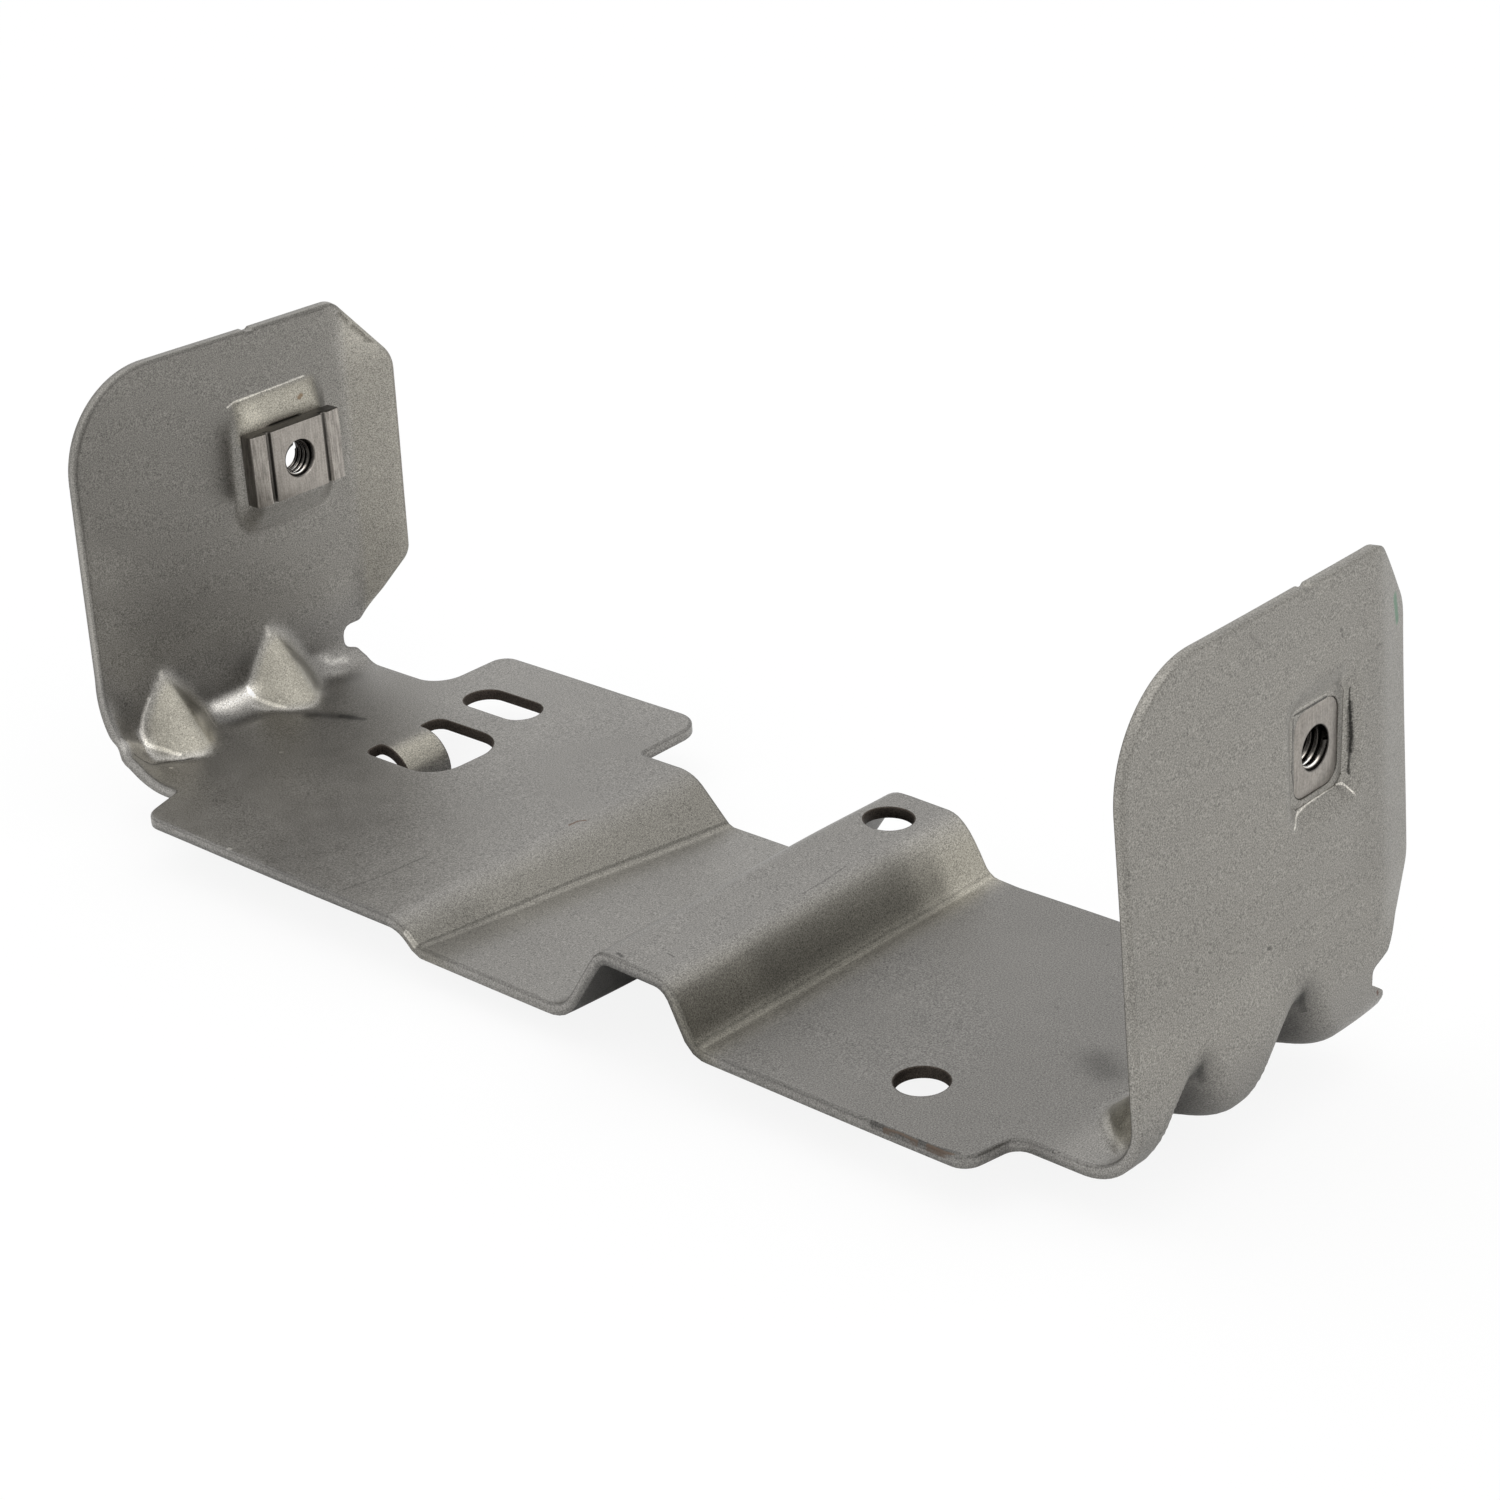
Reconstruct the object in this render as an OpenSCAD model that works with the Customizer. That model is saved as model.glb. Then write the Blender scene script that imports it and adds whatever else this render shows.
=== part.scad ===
/* [Sheet] */
// Thickness of the steel sheet
sheet_t = 1.8; // [1.5:0.1:2]
// Inner radius of the bends between the floor and the two ears
ear_bend_r = 6; // [5:0.5:8]

/* [Floor] */
// Distance between the two ear faces, measured at the base plane
ear_span = 204.2; // [200:0.2:208]
// Depth of the floor, front edge to rear edge
floor_depth = 62.5; // [60:0.5:66]
// Height of the left level above the base plane
left_level_z = 5.3; // [4:0.1:6]
// Height of the right level above the base plane
right_level_z = 4.4; // [3.4:0.1:5]
// Fall of the middle level, front to rear, in degrees
middle_fall = 3.95; // [3:0.05:5]
// Slope of the step between the left and the middle level
step_slope = 45; // [40:1:50]
// Place of the head of the step
step_head_x = -23.3; // [-26:0.1:-21]
// Upper radius at the top of the step
step_top_r = 7; // [5:0.5:9]
// Upper radius at the foot of the step
step_foot_r = 2; // [1.5:0.5:3]

/* [Ridge] */
// Left and right edge of the flat ridge top
ridge_x = [17.2, 30.6];
// Height of the ridge top above the base plane
ridge_z = 13.2; // [12:0.1:15]
// Slope of the left ridge wall
ridge_left_slope = 56; // [52:1:62]
// Slope of the right ridge wall
ridge_right_slope = 63.8; // [58:0.2:66]
// Radius of the ridge bends on the side that curves in
ridge_in_r = 2.6; // [2:0.2:3.6]

/* [Rear tab] */
// Left and right side of the tab behind the left level
tab_x = [-82.2, -34.9];
// Place of the rear edge of the tab
tab_y = 46.5; // [40:0.5:48]

/* [Ears] */
// Height of the ears above the base plane
ear_top_z = 69.8; // [64:0.1:72]
// Place of the front edge of the ears
ear_front_y = -22.9; // [-24:0.1:-21]
// Place of the rear edge of the ears
ear_rear_y = 41.6; // [38:0.1:43]
// Radius of the front top corner
ear_corner_r = 16; // [10:1:20]
// Inward lean of the left and the right ear, in degrees
ear_lean = [1.6, 2.5];
// Place of the crease where the rear strip turns inwards
crease_y = 32; // [31:0.5:34]
// Inward turn of the rear strip, in degrees
strip_turn = 16.5; // [8:0.5:20]

/* [Darts] */
// Places of the darts along each ear bend
dart_y = [-10.8, 11.9];
// Height of a dart on the ear, and its reach on the floor
dart_rise = 13.8; // [11:0.2:15]
// Reach of a dart over the floor, from the ear face
dart_reach = 12; // [9:0.2:13]
// Half of the angle between the two flanks of a dart
dart_flank = 41.5; // [38:0.5:52]
// Radius along the ridge of a dart
dart_r = 2; // [1.9:0.1:3]

/* [Openings] */
// Diameter of the two round holes
hole_d = 7.8; // [7:0.1:8.5]
// Places of the hole in the ridge and the hole in the right level
hole_xy = [[23.3, 23.5], [64.2, -19.5]];
// Centre of the slot with round ends
slot_xy = [-66.6, 31.65];
// Length and width of that slot
slot_size = [15.2, 7.7];
// Left and right side of the window
window_x = [-72, -55];
// Front and rear side of the window
window_y = [4.9, 21.9];
// Front and rear side of the tongue that hangs in the window
tongue_y = [9, 17.5];
// Outer face of the hanging part of the tongue
tongue_x = -65.4; // [-67:0.1:-63]
// Lower end of the tongue
tongue_low_z = -2.4; // [-3:0.1:0]

/* [Nuts] */
// Height of the common axis of the two nuts above the base plane
nut_z = 47; // [44:0.5:50]
// Place of the common axis of the two nuts
nut_y = 18.2; // [16:0.1:20]
// Nut body: thickness, width, height
nut_body = [3, 18.8, 12];
// Width of the pilot that is pressed through the ear
pilot_w = 9.9; // [9:0.1:11]
// Corner radius of the pilot
pilot_r = 1.8; // [1:0.1:2.5]
// Width and depth of the two grooves beside the middle block
groove = [0.9, 0.8];
// Diameter of the drilled hole inside the thread
drill_d = 5; // [4.9:0.1:5.2]
// Diameter of the thread at its mouth
mouth_d = 6; // [5.8:0.1:6.4]
// Height of the raised seats of the left and the right nut
seat_h = [2, 1.3];
// Width and height of the seats at their foot
seat_foot = [[20.6, 23.4], [16.6, 19.4]];
// Width and height of the seats at their top
seat_top = [[15.6, 15.8], [13.2, 14.8]];
// Corner radius of the seats
seat_r = 3; // [2:0.5:4]

/* [Hidden] */
$fn = 48;
bend_steps = 6;
past = 5;
sliver = 0.04;
steel = [0.52, 0.51, 0.49];
nut_steel = [0.45, 0.42, 0.39];

half_depth = floor_depth / 2;
half_span = ear_span / 2;
strip_z = 16;
ear_foot_x = half_span - ear_bend_r;

// Heights of the middle level and the places of its fold lines, at depth y
function middle_z(y) = -tan(middle_fall) * y;
function step_foot(y) = step_head_x + (left_level_z - middle_z(y)) / tan(step_slope);
function ridge_foot(y) = ridge_x[0] - (ridge_z - middle_z(y)) / tan(ridge_left_slope);
ridge_end = ridge_x[1] + (ridge_z - right_level_z) / tan(ridge_right_slope);

// Inner faces of the two ears at height z, the right one inside its thickness
function left_face(z) = -half_span + tan(ear_lean[0]) * z;
function right_face(z) = half_span - tan(ear_lean[1]) * z - sheet_t / cos(ear_lean[1]);

function unit(v) = v / norm(v);
function left_of(v) = [-v[1], v[0]];
function reverse(list) = [for (i = [len(list) - 1:-1:0]) list[i]];

// One bend of a sheet at corner b between a and c. Each entry is a point on the
// upper surface and the point below it on the lower surface.
function bend(a, b, c, r) =
    let (
        d1 = unit(b - a),
        d2 = unit(c - b),
        start = atan2(d1[1], d1[0]),
        turn = atan2(d1[0] * d2[1] - d1[1] * d2[0], d1 * d2),
        side = sign(turn),
        centre = b - d1 * r * tan(abs(turn) / 2) + side * r * left_of(d1)
    )
    [
        for (k = [0:bend_steps])
            let (
                angle = start + turn * k / bend_steps,
                normal = [-sin(angle), cos(angle)],
                upper = centre - side * r * normal
            )
            [upper, upper - sheet_t * normal]
    ];

// A plain point of the sheet at p, where it runs in direction d
function plain(p, d) = [[p, p - sheet_t * left_of(unit(d))]];

// An outline given by corners [x, y, radius], with every corner rounded
function outline(corners) =
    let (n = len(corners))
    [
        for (i = [0:n - 1])
            let (
                a = corners[(i + n - 1) % n],
                b = corners[i],
                c = corners[(i + 1) % n]
            )
            for (pair = rounded(a, b, c)) pair
    ];

function rounded(a, b, c) =
    b[2] == 0
        ? [[b[0], b[1]]]
        : [for (pair = bend([a[0], a[1]], [b[0], b[1]], [c[0], c[1]], b[2])) pair[0]];

// The folded section at depth y, from the top of the left ear to the top of
// the right ear. The two ends stand a little above the ears.
function section(y) =
    let (
        top = ear_top_z + past,
        l0 = [left_face(top), top],
        l1 = [left_face(strip_z), strip_z],
        l2 = [left_face(left_level_z), left_level_z],
        s1 = [step_head_x, left_level_z],
        s2 = [step_foot(y), middle_z(y)],
        m1 = [ridge_foot(y), middle_z(y)],
        m2 = [ridge_x[0], ridge_z],
        m3 = [ridge_x[1], ridge_z],
        m4 = [ridge_end, right_level_z],
        r2 = [right_face(right_level_z), right_level_z],
        r1 = [right_face(strip_z), strip_z],
        r0 = [right_face(top), top],
        ridge_out_r = ridge_in_r + sheet_t
    )
    concat(
        plain(l0, l1 - l0),
        plain(l1, l1 - l0),
        bend(l1, l2, s1, ear_bend_r),
        bend(l2, s1, s2, step_top_r),
        bend(s1, s2, m1, step_foot_r),
        bend(s2, m1, m2, ridge_in_r),
        bend(m1, m2, m3, ridge_out_r),
        bend(m2, m3, m4, ridge_out_r),
        bend(m3, m4, r2, ridge_in_r),
        bend(m4, r2, r1, ear_bend_r),
        plain(r1, r0 - r1),
        plain(r0, r0 - r1)
    );

// Depths at which the section is drawn, and how far the ears have moved
// inwards there
stations = [-half_depth - past, crease_y - 0.8, crease_y + 0.8, tab_y + past];
function strip_shift(y) = y < crease_y ? 0 : tan(strip_turn) * (y - crease_y);

// Points of one section in space. Only the first two and the last two pairs
// belong to the ears and move with the strip.
function placed(y) =
    let (pairs = section(y), n = len(pairs), shift = strip_shift(y))
    [
        for (i = [0:n - 1])
            for (p = pairs[i])
                [p[0] + (i < 2 ? shift : i > n - 3 ? -shift : 0), y, p[1]]
    ];

// Two triangles that close the four-sided patch a, b, c, d
function patch(a, b, c, d) = [[a, b, c], [a, c, d]];

// The folded strip of sheet before its outline is cut
module folded_strip() {
    n = len(section(0));
    last = len(stations) - 1;
    points = [for (y = stations) for (p = placed(y)) p];
    faces = [
        for (m = [0:last - 1])
            for (k = [0:n - 2])
                let (a = 2 * (m * n + k), b = a + 2, c = b + 2 * n, d = a + 2 * n)
                for (f = concat(patch(a, d, c, b), patch(a + 1, b + 1, c + 1, d + 1))) f,
        for (k = [0:n - 2])
            let (a = 2 * k, b = 2 * (last * n + k))
            for (f = concat(patch(a, a + 2, a + 3, a + 1), patch(b, b + 1, b + 3, b + 2))) f,
        for (m = [0:last - 1])
            let (a = 2 * m * n, b = 2 * (m * n + n - 1))
            for (f = concat(
                patch(a + 1, a + 1 + 2 * n, a + 2 * n, a),
                patch(b, b + 2 * n, b + 1 + 2 * n, b + 1)
            )) f
    ];
    polyhedron(points, faces);
}

// Plan of the floor, with the front tips, the corner notches and the rear tab
module floor_plan() {
    linear_extrude(40, center = true)
        polygon(outline([
            [-ear_foot_x - 2, ear_front_y, 0],
            [-85.7, ear_front_y, 0.8],
            [-83.2, -half_depth, 4],
            [80.8, -half_depth, 3],
            [82.4, ear_front_y, 2.5],
            [ear_foot_x, ear_front_y, 0],
            [ear_foot_x, half_depth, 0],
            [tab_x[1], half_depth, 1],
            [tab_x[1], tab_y, 5.5],
            [tab_x[0], tab_y, 3],
            [tab_x[0], half_depth, 3.3],
            [-ear_foot_x - 2, half_depth, 0]
        ]));
}

// Side view of an ear, with the chamfered rear corner, the slanting lower
// edge and the small relief notch above the bend
module ear_side() {
    linear_extrude(14, center = true)
        polygon(outline([
            [ear_front_y, -8, 0],
            [half_depth, -8, 0],
            [half_depth, 7.6, 0.8],
            [27.6, 8.8, 0.9],
            [27.8, 12, 1.3],
            [31.6, 12, 1.5],
            [ear_rear_y, 22.2, 4],
            [ear_rear_y, 58.2, 6],
            [32.2, ear_top_z, 3],
            [ear_front_y, ear_top_z, ear_corner_r]
        ]));
}

module ear_outline(x) {
    translate([x, 0, 0])
        rotate([90, 0, 90])
            ear_side();
}

// Roof of a dart: a folded sheet with a rounded ridge
dart_width = 14;
dart_fold = bend(
    [-dart_width, -dart_width / tan(dart_flank)],
    [0, 0],
    [dart_width, -dart_width / tan(dart_flank)],
    dart_r
);
dart_ends = concat(
    plain([-dart_width, -dart_width / tan(dart_flank)], [1, 1 / tan(dart_flank)]),
    dart_fold,
    plain([dart_width, -dart_width / tan(dart_flank)], [1, -1 / tan(dart_flank)])
);

// Carries a shape that was drawn across a dart onto the line from its apex on
// the ear to its nose on the floor
module along_dart(apex, nose, y) {
    run = nose - apex;
    translate([(apex[0] + nose[0]) / 2, y, (apex[1] + nose[1]) / 2])
        rotate([0, atan2(run[0], run[1]), 0])
            rotate([0, 0, 90])
                linear_extrude(44, center = true)
                    children();
}

module dart_roof() {
    polygon(concat(
        [for (pair = dart_ends) pair[0]],
        reverse([for (pair = dart_ends) pair[1]])
    ));
}

module dart_pocket() {
    polygon([for (pair = dart_ends) pair[1]]);
}

module at_left_darts() {
    apex_z = left_level_z + dart_rise;
    for (y = dart_y)
        along_dart(
            [left_face(apex_z), apex_z],
            [left_face(left_level_z) + dart_reach, left_level_z],
            y
        )
            children();
}

module at_right_darts() {
    apex_z = right_level_z + dart_rise;
    mirror([1, 0, 0])
        for (y = dart_y)
            along_dart(
                [-right_face(apex_z), apex_z],
                [-right_face(right_level_z) + dart_reach, right_level_z],
                y
            )
                children();
}

// The space inside the folded section and its thickness, which bounds the darts
module inner_space() {
    pairs = section(0);
    rotate([90, 0, 0])
        linear_extrude(floor_depth - 12, center = true)
            polygon([
                for (pair = pairs)
                    pair[1] + sliver * unit(pair[0] - pair[1])
            ]);
}

module dart_shells() {
    intersection() {
        union() {
            at_left_darts() dart_roof();
            at_right_darts() dart_roof();
        }
        inner_space();
    }
}

module dart_pockets() {
    at_left_darts() dart_pocket();
    at_right_darts() dart_pocket();
}

// Tongue that hangs from the left side of the window
module tongue() {
    root = [window_x[0] - 2, left_level_z];
    corner = [tongue_x, left_level_z];
    tip = [tongue_x, tongue_low_z];
    pairs = concat(
        plain(root, corner - root),
        bend(root, corner, tip, 5.2),
        plain(tip, tip - corner)
    );
    translate([0, tongue_y[1], 0])
        rotate([90, 0, 0])
            linear_extrude(tongue_y[1] - tongue_y[0])
                polygon(concat(
                    [for (pair = pairs) pair[0]],
                    reverse([for (pair = pairs) pair[1]])
                ));
}

module window_cut() {
    linear_extrude(20, center = true)
        polygon(outline([
            [window_x[0], window_y[0], 2],
            [window_x[1], window_y[0], 3.5],
            [window_x[1], window_y[1], 3.5],
            [window_x[0], window_y[1], 2]
        ]));
}

module slot_cut() {
    reach = (slot_size[0] - slot_size[1]) / 2;
    translate([slot_xy[0], slot_xy[1], 0]) {
        for (x = [-reach, reach])
            translate([x, 0, 0])
                cylinder(d = slot_size[1], h = 20, center = true);
        cube([2 * reach, slot_size[1], 20], center = true);
    }
}

module round_holes() {
    for (xy = hole_xy)
        translate([xy[0], xy[1], 0])
            cylinder(d = hole_d, h = 40, center = true);
}

// Faces on which the nuts sit: the top of each raised seat
left_seat_x = left_face(nut_z) + seat_h[0];
right_seat_x = right_face(nut_z) - seat_h[1];

// A thin plate with rounded corners, square to the X axis
module rounded_plate(x, size, r) {
    translate([x, nut_y, nut_z])
        rotate([90, 0, 90])
            linear_extrude(sliver)
                polygon(outline([
                    [-size[0] / 2, -size[1] / 2, r],
                    [size[0] / 2, -size[1] / 2, r],
                    [size[0] / 2, size[1] / 2, r],
                    [-size[0] / 2, size[1] / 2, r]
                ]));
}

// The left seat as a solid, moved along X by shift
module left_seat(shift) {
    hull() {
        rounded_plate(left_seat_x + shift - sliver, seat_top[0], seat_r);
        rounded_plate(left_face(nut_z) + shift - 0.9, seat_foot[0], seat_r);
    }
}

module right_seat(shift) {
    hull() {
        rounded_plate(right_seat_x + shift, seat_top[1], seat_r);
        rounded_plate(right_face(nut_z) + shift + 0.9, seat_foot[1], seat_r);
    }
}

module pilot_holes() {
    for (x = [left_seat_x - past, right_seat_x - past])
        translate([x, nut_y, nut_z])
            pilot_block(2 * past);
}

module pilot_block(length) {
    rotate([90, 0, 90])
        linear_extrude(length)
            polygon(outline([
                [-pilot_w / 2, -nut_body[2] / 2, pilot_r],
                [pilot_w / 2, -nut_body[2] / 2, pilot_r],
                [pilot_w / 2, nut_body[2] / 2, pilot_r],
                [-pilot_w / 2, nut_body[2] / 2, pilot_r]
            ]));
}

// The whole sheet: folded, cut to its outline, with darts, seats and openings
module sheet() {
    difference() {
        union() {
            difference() {
                intersection() {
                    folded_strip();
                    union() {
                        floor_plan();
                        ear_outline(-half_span + 0.5);
                        ear_outline(half_span - 0.5);
                    }
                }
                dart_pockets();
                window_cut();
            }
            dart_shells();
            tongue();
            left_seat(0);
            right_seat(0);
        }
        left_seat(-sheet_t);
        right_seat(sheet_t);
        pilot_holes();
        slot_cut();
        round_holes();
    }
}

// A pierce nut, drawn with its seat face at x = 0 and its face towards +X
module nut() {
    wing = nut_body[1] / 2;
    block = pilot_w / 2 + 0.9;
    difference() {
        union() {
            linear_extrude(nut_body[2], center = true)
                polygon(outline([
                    [0, -wing, 0],
                    [nut_body[0], -wing, 1.6],
                    [nut_body[0], -block - groove[0] / 2, 0],
                    [nut_body[0] - groove[1], -block, 0],
                    [nut_body[0], -block + groove[0] / 2, 0],
                    [nut_body[0], block - groove[0] / 2, 0],
                    [nut_body[0] - groove[1], block, 0],
                    [nut_body[0], block + groove[0] / 2, 0],
                    [nut_body[0], wing, 1.6],
                    [0, wing, 0]
                ]));
            translate([-sheet_t, 0, 0])
                pilot_block(sheet_t + 1);
        }
        thread_hole();
    }
}

// The drilled hole with a chamfer at each mouth
module thread_hole() {
    chamfer = (mouth_d - drill_d) / 2;
    translate([-past, 0, 0])
        rotate([0, 90, 0])
            cylinder(d = drill_d, h = 3 * past);
    translate([nut_body[0] - chamfer, 0, 0])
        rotate([0, 90, 0])
            cylinder(d1 = drill_d, d2 = drill_d + 4 * chamfer, h = 2 * chamfer);
    translate([-sheet_t - chamfer, 0, 0])
        rotate([0, 90, 0])
            cylinder(d1 = drill_d + 4 * chamfer, d2 = drill_d, h = 2 * chamfer);
}

// The origin is the middle of the whole part at its lowest point
low_side = [for (pair = section(0)) pair[1][0]];
origin = [
    (min(low_side) + max(low_side)) / 2,
    (tab_y - half_depth) / 2,
    middle_z(half_depth) - sheet_t / cos(middle_fall)
];

module bracket() {
    color(steel)
        translate(-origin)
            sheet();
}

module left_nut() {
    color(nut_steel)
        translate(-origin)
            translate([left_seat_x, nut_y, nut_z])
                nut();
}

module right_nut() {
    color(nut_steel)
        translate(-origin)
            translate([right_seat_x, nut_y, nut_z])
                mirror([1, 0, 0])
                    nut();
}

bracket();
left_nut();
right_nut();
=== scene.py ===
"""Stamped metal bracket: one folded steel sheet with a pierce nut in each ear.

Sizes in this file are in millimetres in the frame of the part's own drawing.
placed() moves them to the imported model's frame, in metres.
"""
import math

import bmesh
import bpy
import numpy as np
from bpy.props import FloatProperty, FloatVectorProperty, PointerProperty
from mathutils import Matrix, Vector
from mathutils.geometry import delaunay_2d_cdt


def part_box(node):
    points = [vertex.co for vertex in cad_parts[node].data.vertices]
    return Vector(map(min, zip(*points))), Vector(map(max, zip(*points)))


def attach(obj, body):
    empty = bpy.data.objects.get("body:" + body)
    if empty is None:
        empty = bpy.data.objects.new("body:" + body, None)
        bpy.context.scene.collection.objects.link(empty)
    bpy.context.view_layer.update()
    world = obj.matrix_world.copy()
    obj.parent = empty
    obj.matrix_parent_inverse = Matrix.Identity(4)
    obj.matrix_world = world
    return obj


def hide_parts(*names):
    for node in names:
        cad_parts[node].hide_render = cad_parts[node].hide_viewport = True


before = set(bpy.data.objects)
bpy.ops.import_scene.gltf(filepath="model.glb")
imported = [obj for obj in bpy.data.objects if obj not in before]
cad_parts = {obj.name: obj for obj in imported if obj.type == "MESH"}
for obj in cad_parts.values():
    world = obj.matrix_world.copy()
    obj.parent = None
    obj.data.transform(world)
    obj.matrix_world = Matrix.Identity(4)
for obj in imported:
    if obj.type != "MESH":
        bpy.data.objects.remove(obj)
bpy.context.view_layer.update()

bl_info = {
    "name": "Stamped Metal Bracket",
    "version": (1, 0, 0),
    "blender": (4, 5, 0),
    "location": "3D View > Sidebar > Bracket",
    "description": "Builds a folded steel bracket with two pressed-in nuts",
    "category": "Mesh",
}

MM = 0.001
ORIGIN = np.array([-0.973955, 7.625, -3.9621])

# Floor
HALF_DEPTH = 31.25
LEFT_Z = 5.3
RIGHT_Z = 4.4
MIDDLE_FALL = math.radians(3.95)
STEP_HEAD = -23.3
RIDGE_LEFT = (17.2, 13.65)
RIDGE_RIGHT = (30.6, 13.15)

# Ears
HALF_SPAN = 102.1
LEAN = {-1: math.radians(1.6), 1: math.radians(2.5)}
LEVEL = {-1: LEFT_Z, 1: RIGHT_Z}
EAR_FRONT = {-1: -22.6, 1: -22.95}
# Edges of each ear: front edge and top at the front, top at the rear, rear
# edge low and high, and the place of the nick in the top
EAR_EDGE = {
    -1: (-22.5, 69.6, 69.1, 41.9, 41.8, 14.3),
    1: (-23.9, 69.75, 69.8, 41.5, 41.2, 15.5),
}
# Corners of the notch below the rear edge of each ear: depth, height, radius
NOTCH = {
    -1: ((32.0, 12.1, 1.5), (28.1, 12.1, 1.6), (28.1, 8.6, 1.1), (30.4, 7.9, 1.0),
         (HALF_DEPTH, 6.4, 0.4)),
    1: ((32.4, 12.6, 1.6), (28.7, 11.5, 1.2), (28.5, 9.1, 0.6), (31.6, 7.5, 0.9),
        (31.4, 6.2, 0.4)),
}
CREASE_Y = 32.0
# Darts: how far the nose lies behind the apex, the radius of the crest at the
# apex and at the nose, the crest's drop, the softness of the foot in front and
# behind, what the rise and the reach differ by on each side, and the slope of
# the front and rear flanks against the setting
DART_SKEW = {-1: 0.2, 1: 0.9}
DART_CREST = (2.0, 4.2)
DART_DROP = 0.9
DART_SOFT = (1.2, 3.0)
DART_RISE_CHANGE = {-1: -0.3, 1: -1.2}
DART_REACH_CHANGE = {-1: -1.2, 1: 2.0}
DART_SLOPES = {-1: (1.0, 0.84), 1: (0.60, 0.88)}
STRIP_TURN = math.radians(16.5)

# Openings
TONGUE_ROOT = -71.2
TONGUE_R = 5.8
TONGUE_Y = (8.9, 17.7)
TONGUE_END = -59.6
HOLES = ((23.3, 23.5, 3.72), (64.2, -19.5, 3.72))
SLOT = (-67.0, 31.5, 15.6, 7.3)
HOLE_ROLLOVER = 0.45

# Small folds beside the darts: points on the blank, height and half width
CREASES = (
    (((-101.2, -17.0), (-100.2, -19.4), (-99.6, -23.0)), 0.45, 1.1),
    (((-97.4, -22.5), (-97.4, -16.6), (-94.2, -14.3)), -0.28, 0.9),
    (((-102.6, 6.2), (-102.2, 2.6), (-102.0, -1.0)), 0.30, 1.1),
    (((-99.9, -2.0), (-98.6, 0.4), (-97.8, 3.6)), -0.30, 1.3),
    (((-102.4, 21.4), (-101.2, 23.6), (-99.9, 25.0)), 0.30, 0.9),
    (((-90.6, 9.0), (-90.2, 12.2), (-86.5, 11.3)), -0.16, 0.9),
    (((89.2, -13.9), (92.0, -16.6), (95.4, -18.6)), 0.35, 0.9),
    (((86.3, -11.6), (86.8, -6.0)), -0.15, 0.7),
)

# Areas of the blank with closer points: low and high u, low and high y, step
FINE_AREAS = (
    (-154.0, -127.5, 6.0, 30.0, 0.42),
    (128.0, 154.0, 6.0, 30.0, 0.42),
)

# Marks in this and the following lists lie on the upper face of the sheet for
# u below 100 and on the outer face of the right ear above that.
# Painted light and shade, as lighter and darker areas: low and high u, low and high y, softness,
# factor
PAINTED_LIGHT_AND_SHADE = (
    (38.0, 88.0, -40.0, 40.0, 3.0, 0.77),
    (31.9, 36.8, -40.0, 23.0, 2.2, 0.56),
    (31.2, 35.2, -16.0, 16.0, 3.0, 0.68),
    (29.8, 37.6, 18.0, 40.0, 3.0, 1.38),
    (18.0, 30.0, -40.0, 40.0, 2.5, 0.92),
    (-23.0, -14.0, -40.0, 40.0, 3.0, 0.84),
    (-200.0, -118.0, -40.0, 31.5, 6.0, 0.90),
    (-200.0, -145.0, -40.0, 31.5, 12.0, 0.94),
    (-92.0, -60.0, -40.0, -5.0, 9.0, 1.22),
    (-48.0, -26.0, -10.0, 40.0, 9.0, 0.92),
    (-200.0, -108.0, 33.0, 60.0, 1.0, 1.34),
    (-200.0, -154.0, 33.0, 60.0, 4.0, 1.40),
    (-152.4, -145.5, 10.0, 25.6, 1.2, 1.66),
    (104.0, 118.0, -40.0, 8.0, 4.0, 1.10),
    (118.0, 150.0, 26.0, 60.0, 5.0, 0.92),
    (-135.0, -110.0, -40.0, -14.0, 5.0, 1.26),
    (-130.0, -110.0, -14.0, 31.0, 5.0, 1.07),
    (-23.0, -14.0, -40.0, -18.0, 4.0, 0.82),
)

# The same at all depths of the sheet: front edge of the left level
EDGE_TONES = (
    (-90.0, -26.0, -40.0, -31.0, 0.25, 0.80),
)

# The same columns on the lower face, as painted shade in the hollow of the ridge
PAINTED_HOLLOW_SHADE = (
    (9.0, 37.0, -40.0, 40.0, 2.0, 0.55),
)

# Yellower areas, with how far they take the second colour
WARM = (
    (-23.0, -14.0, -40.0, 40.0, 3.0, 0.6),
    (31.0, 38.0, -40.0, 40.0, 2.5, 1.0),
    (-200.0, -112.0, -40.0, 60.0, 4.0, 0.25),
    (-200.0, -108.0, 33.0, 60.0, 1.0, 0.6),
    (-152.9, -145.5, 9.0, 26.5, 0.7, 1.0),
    (104.0, 200.0, -40.0, 60.0, 8.0, 0.35),
    (-70.0, -64.0, 8.0, 18.0, 1.5, 1.0),
)
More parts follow.
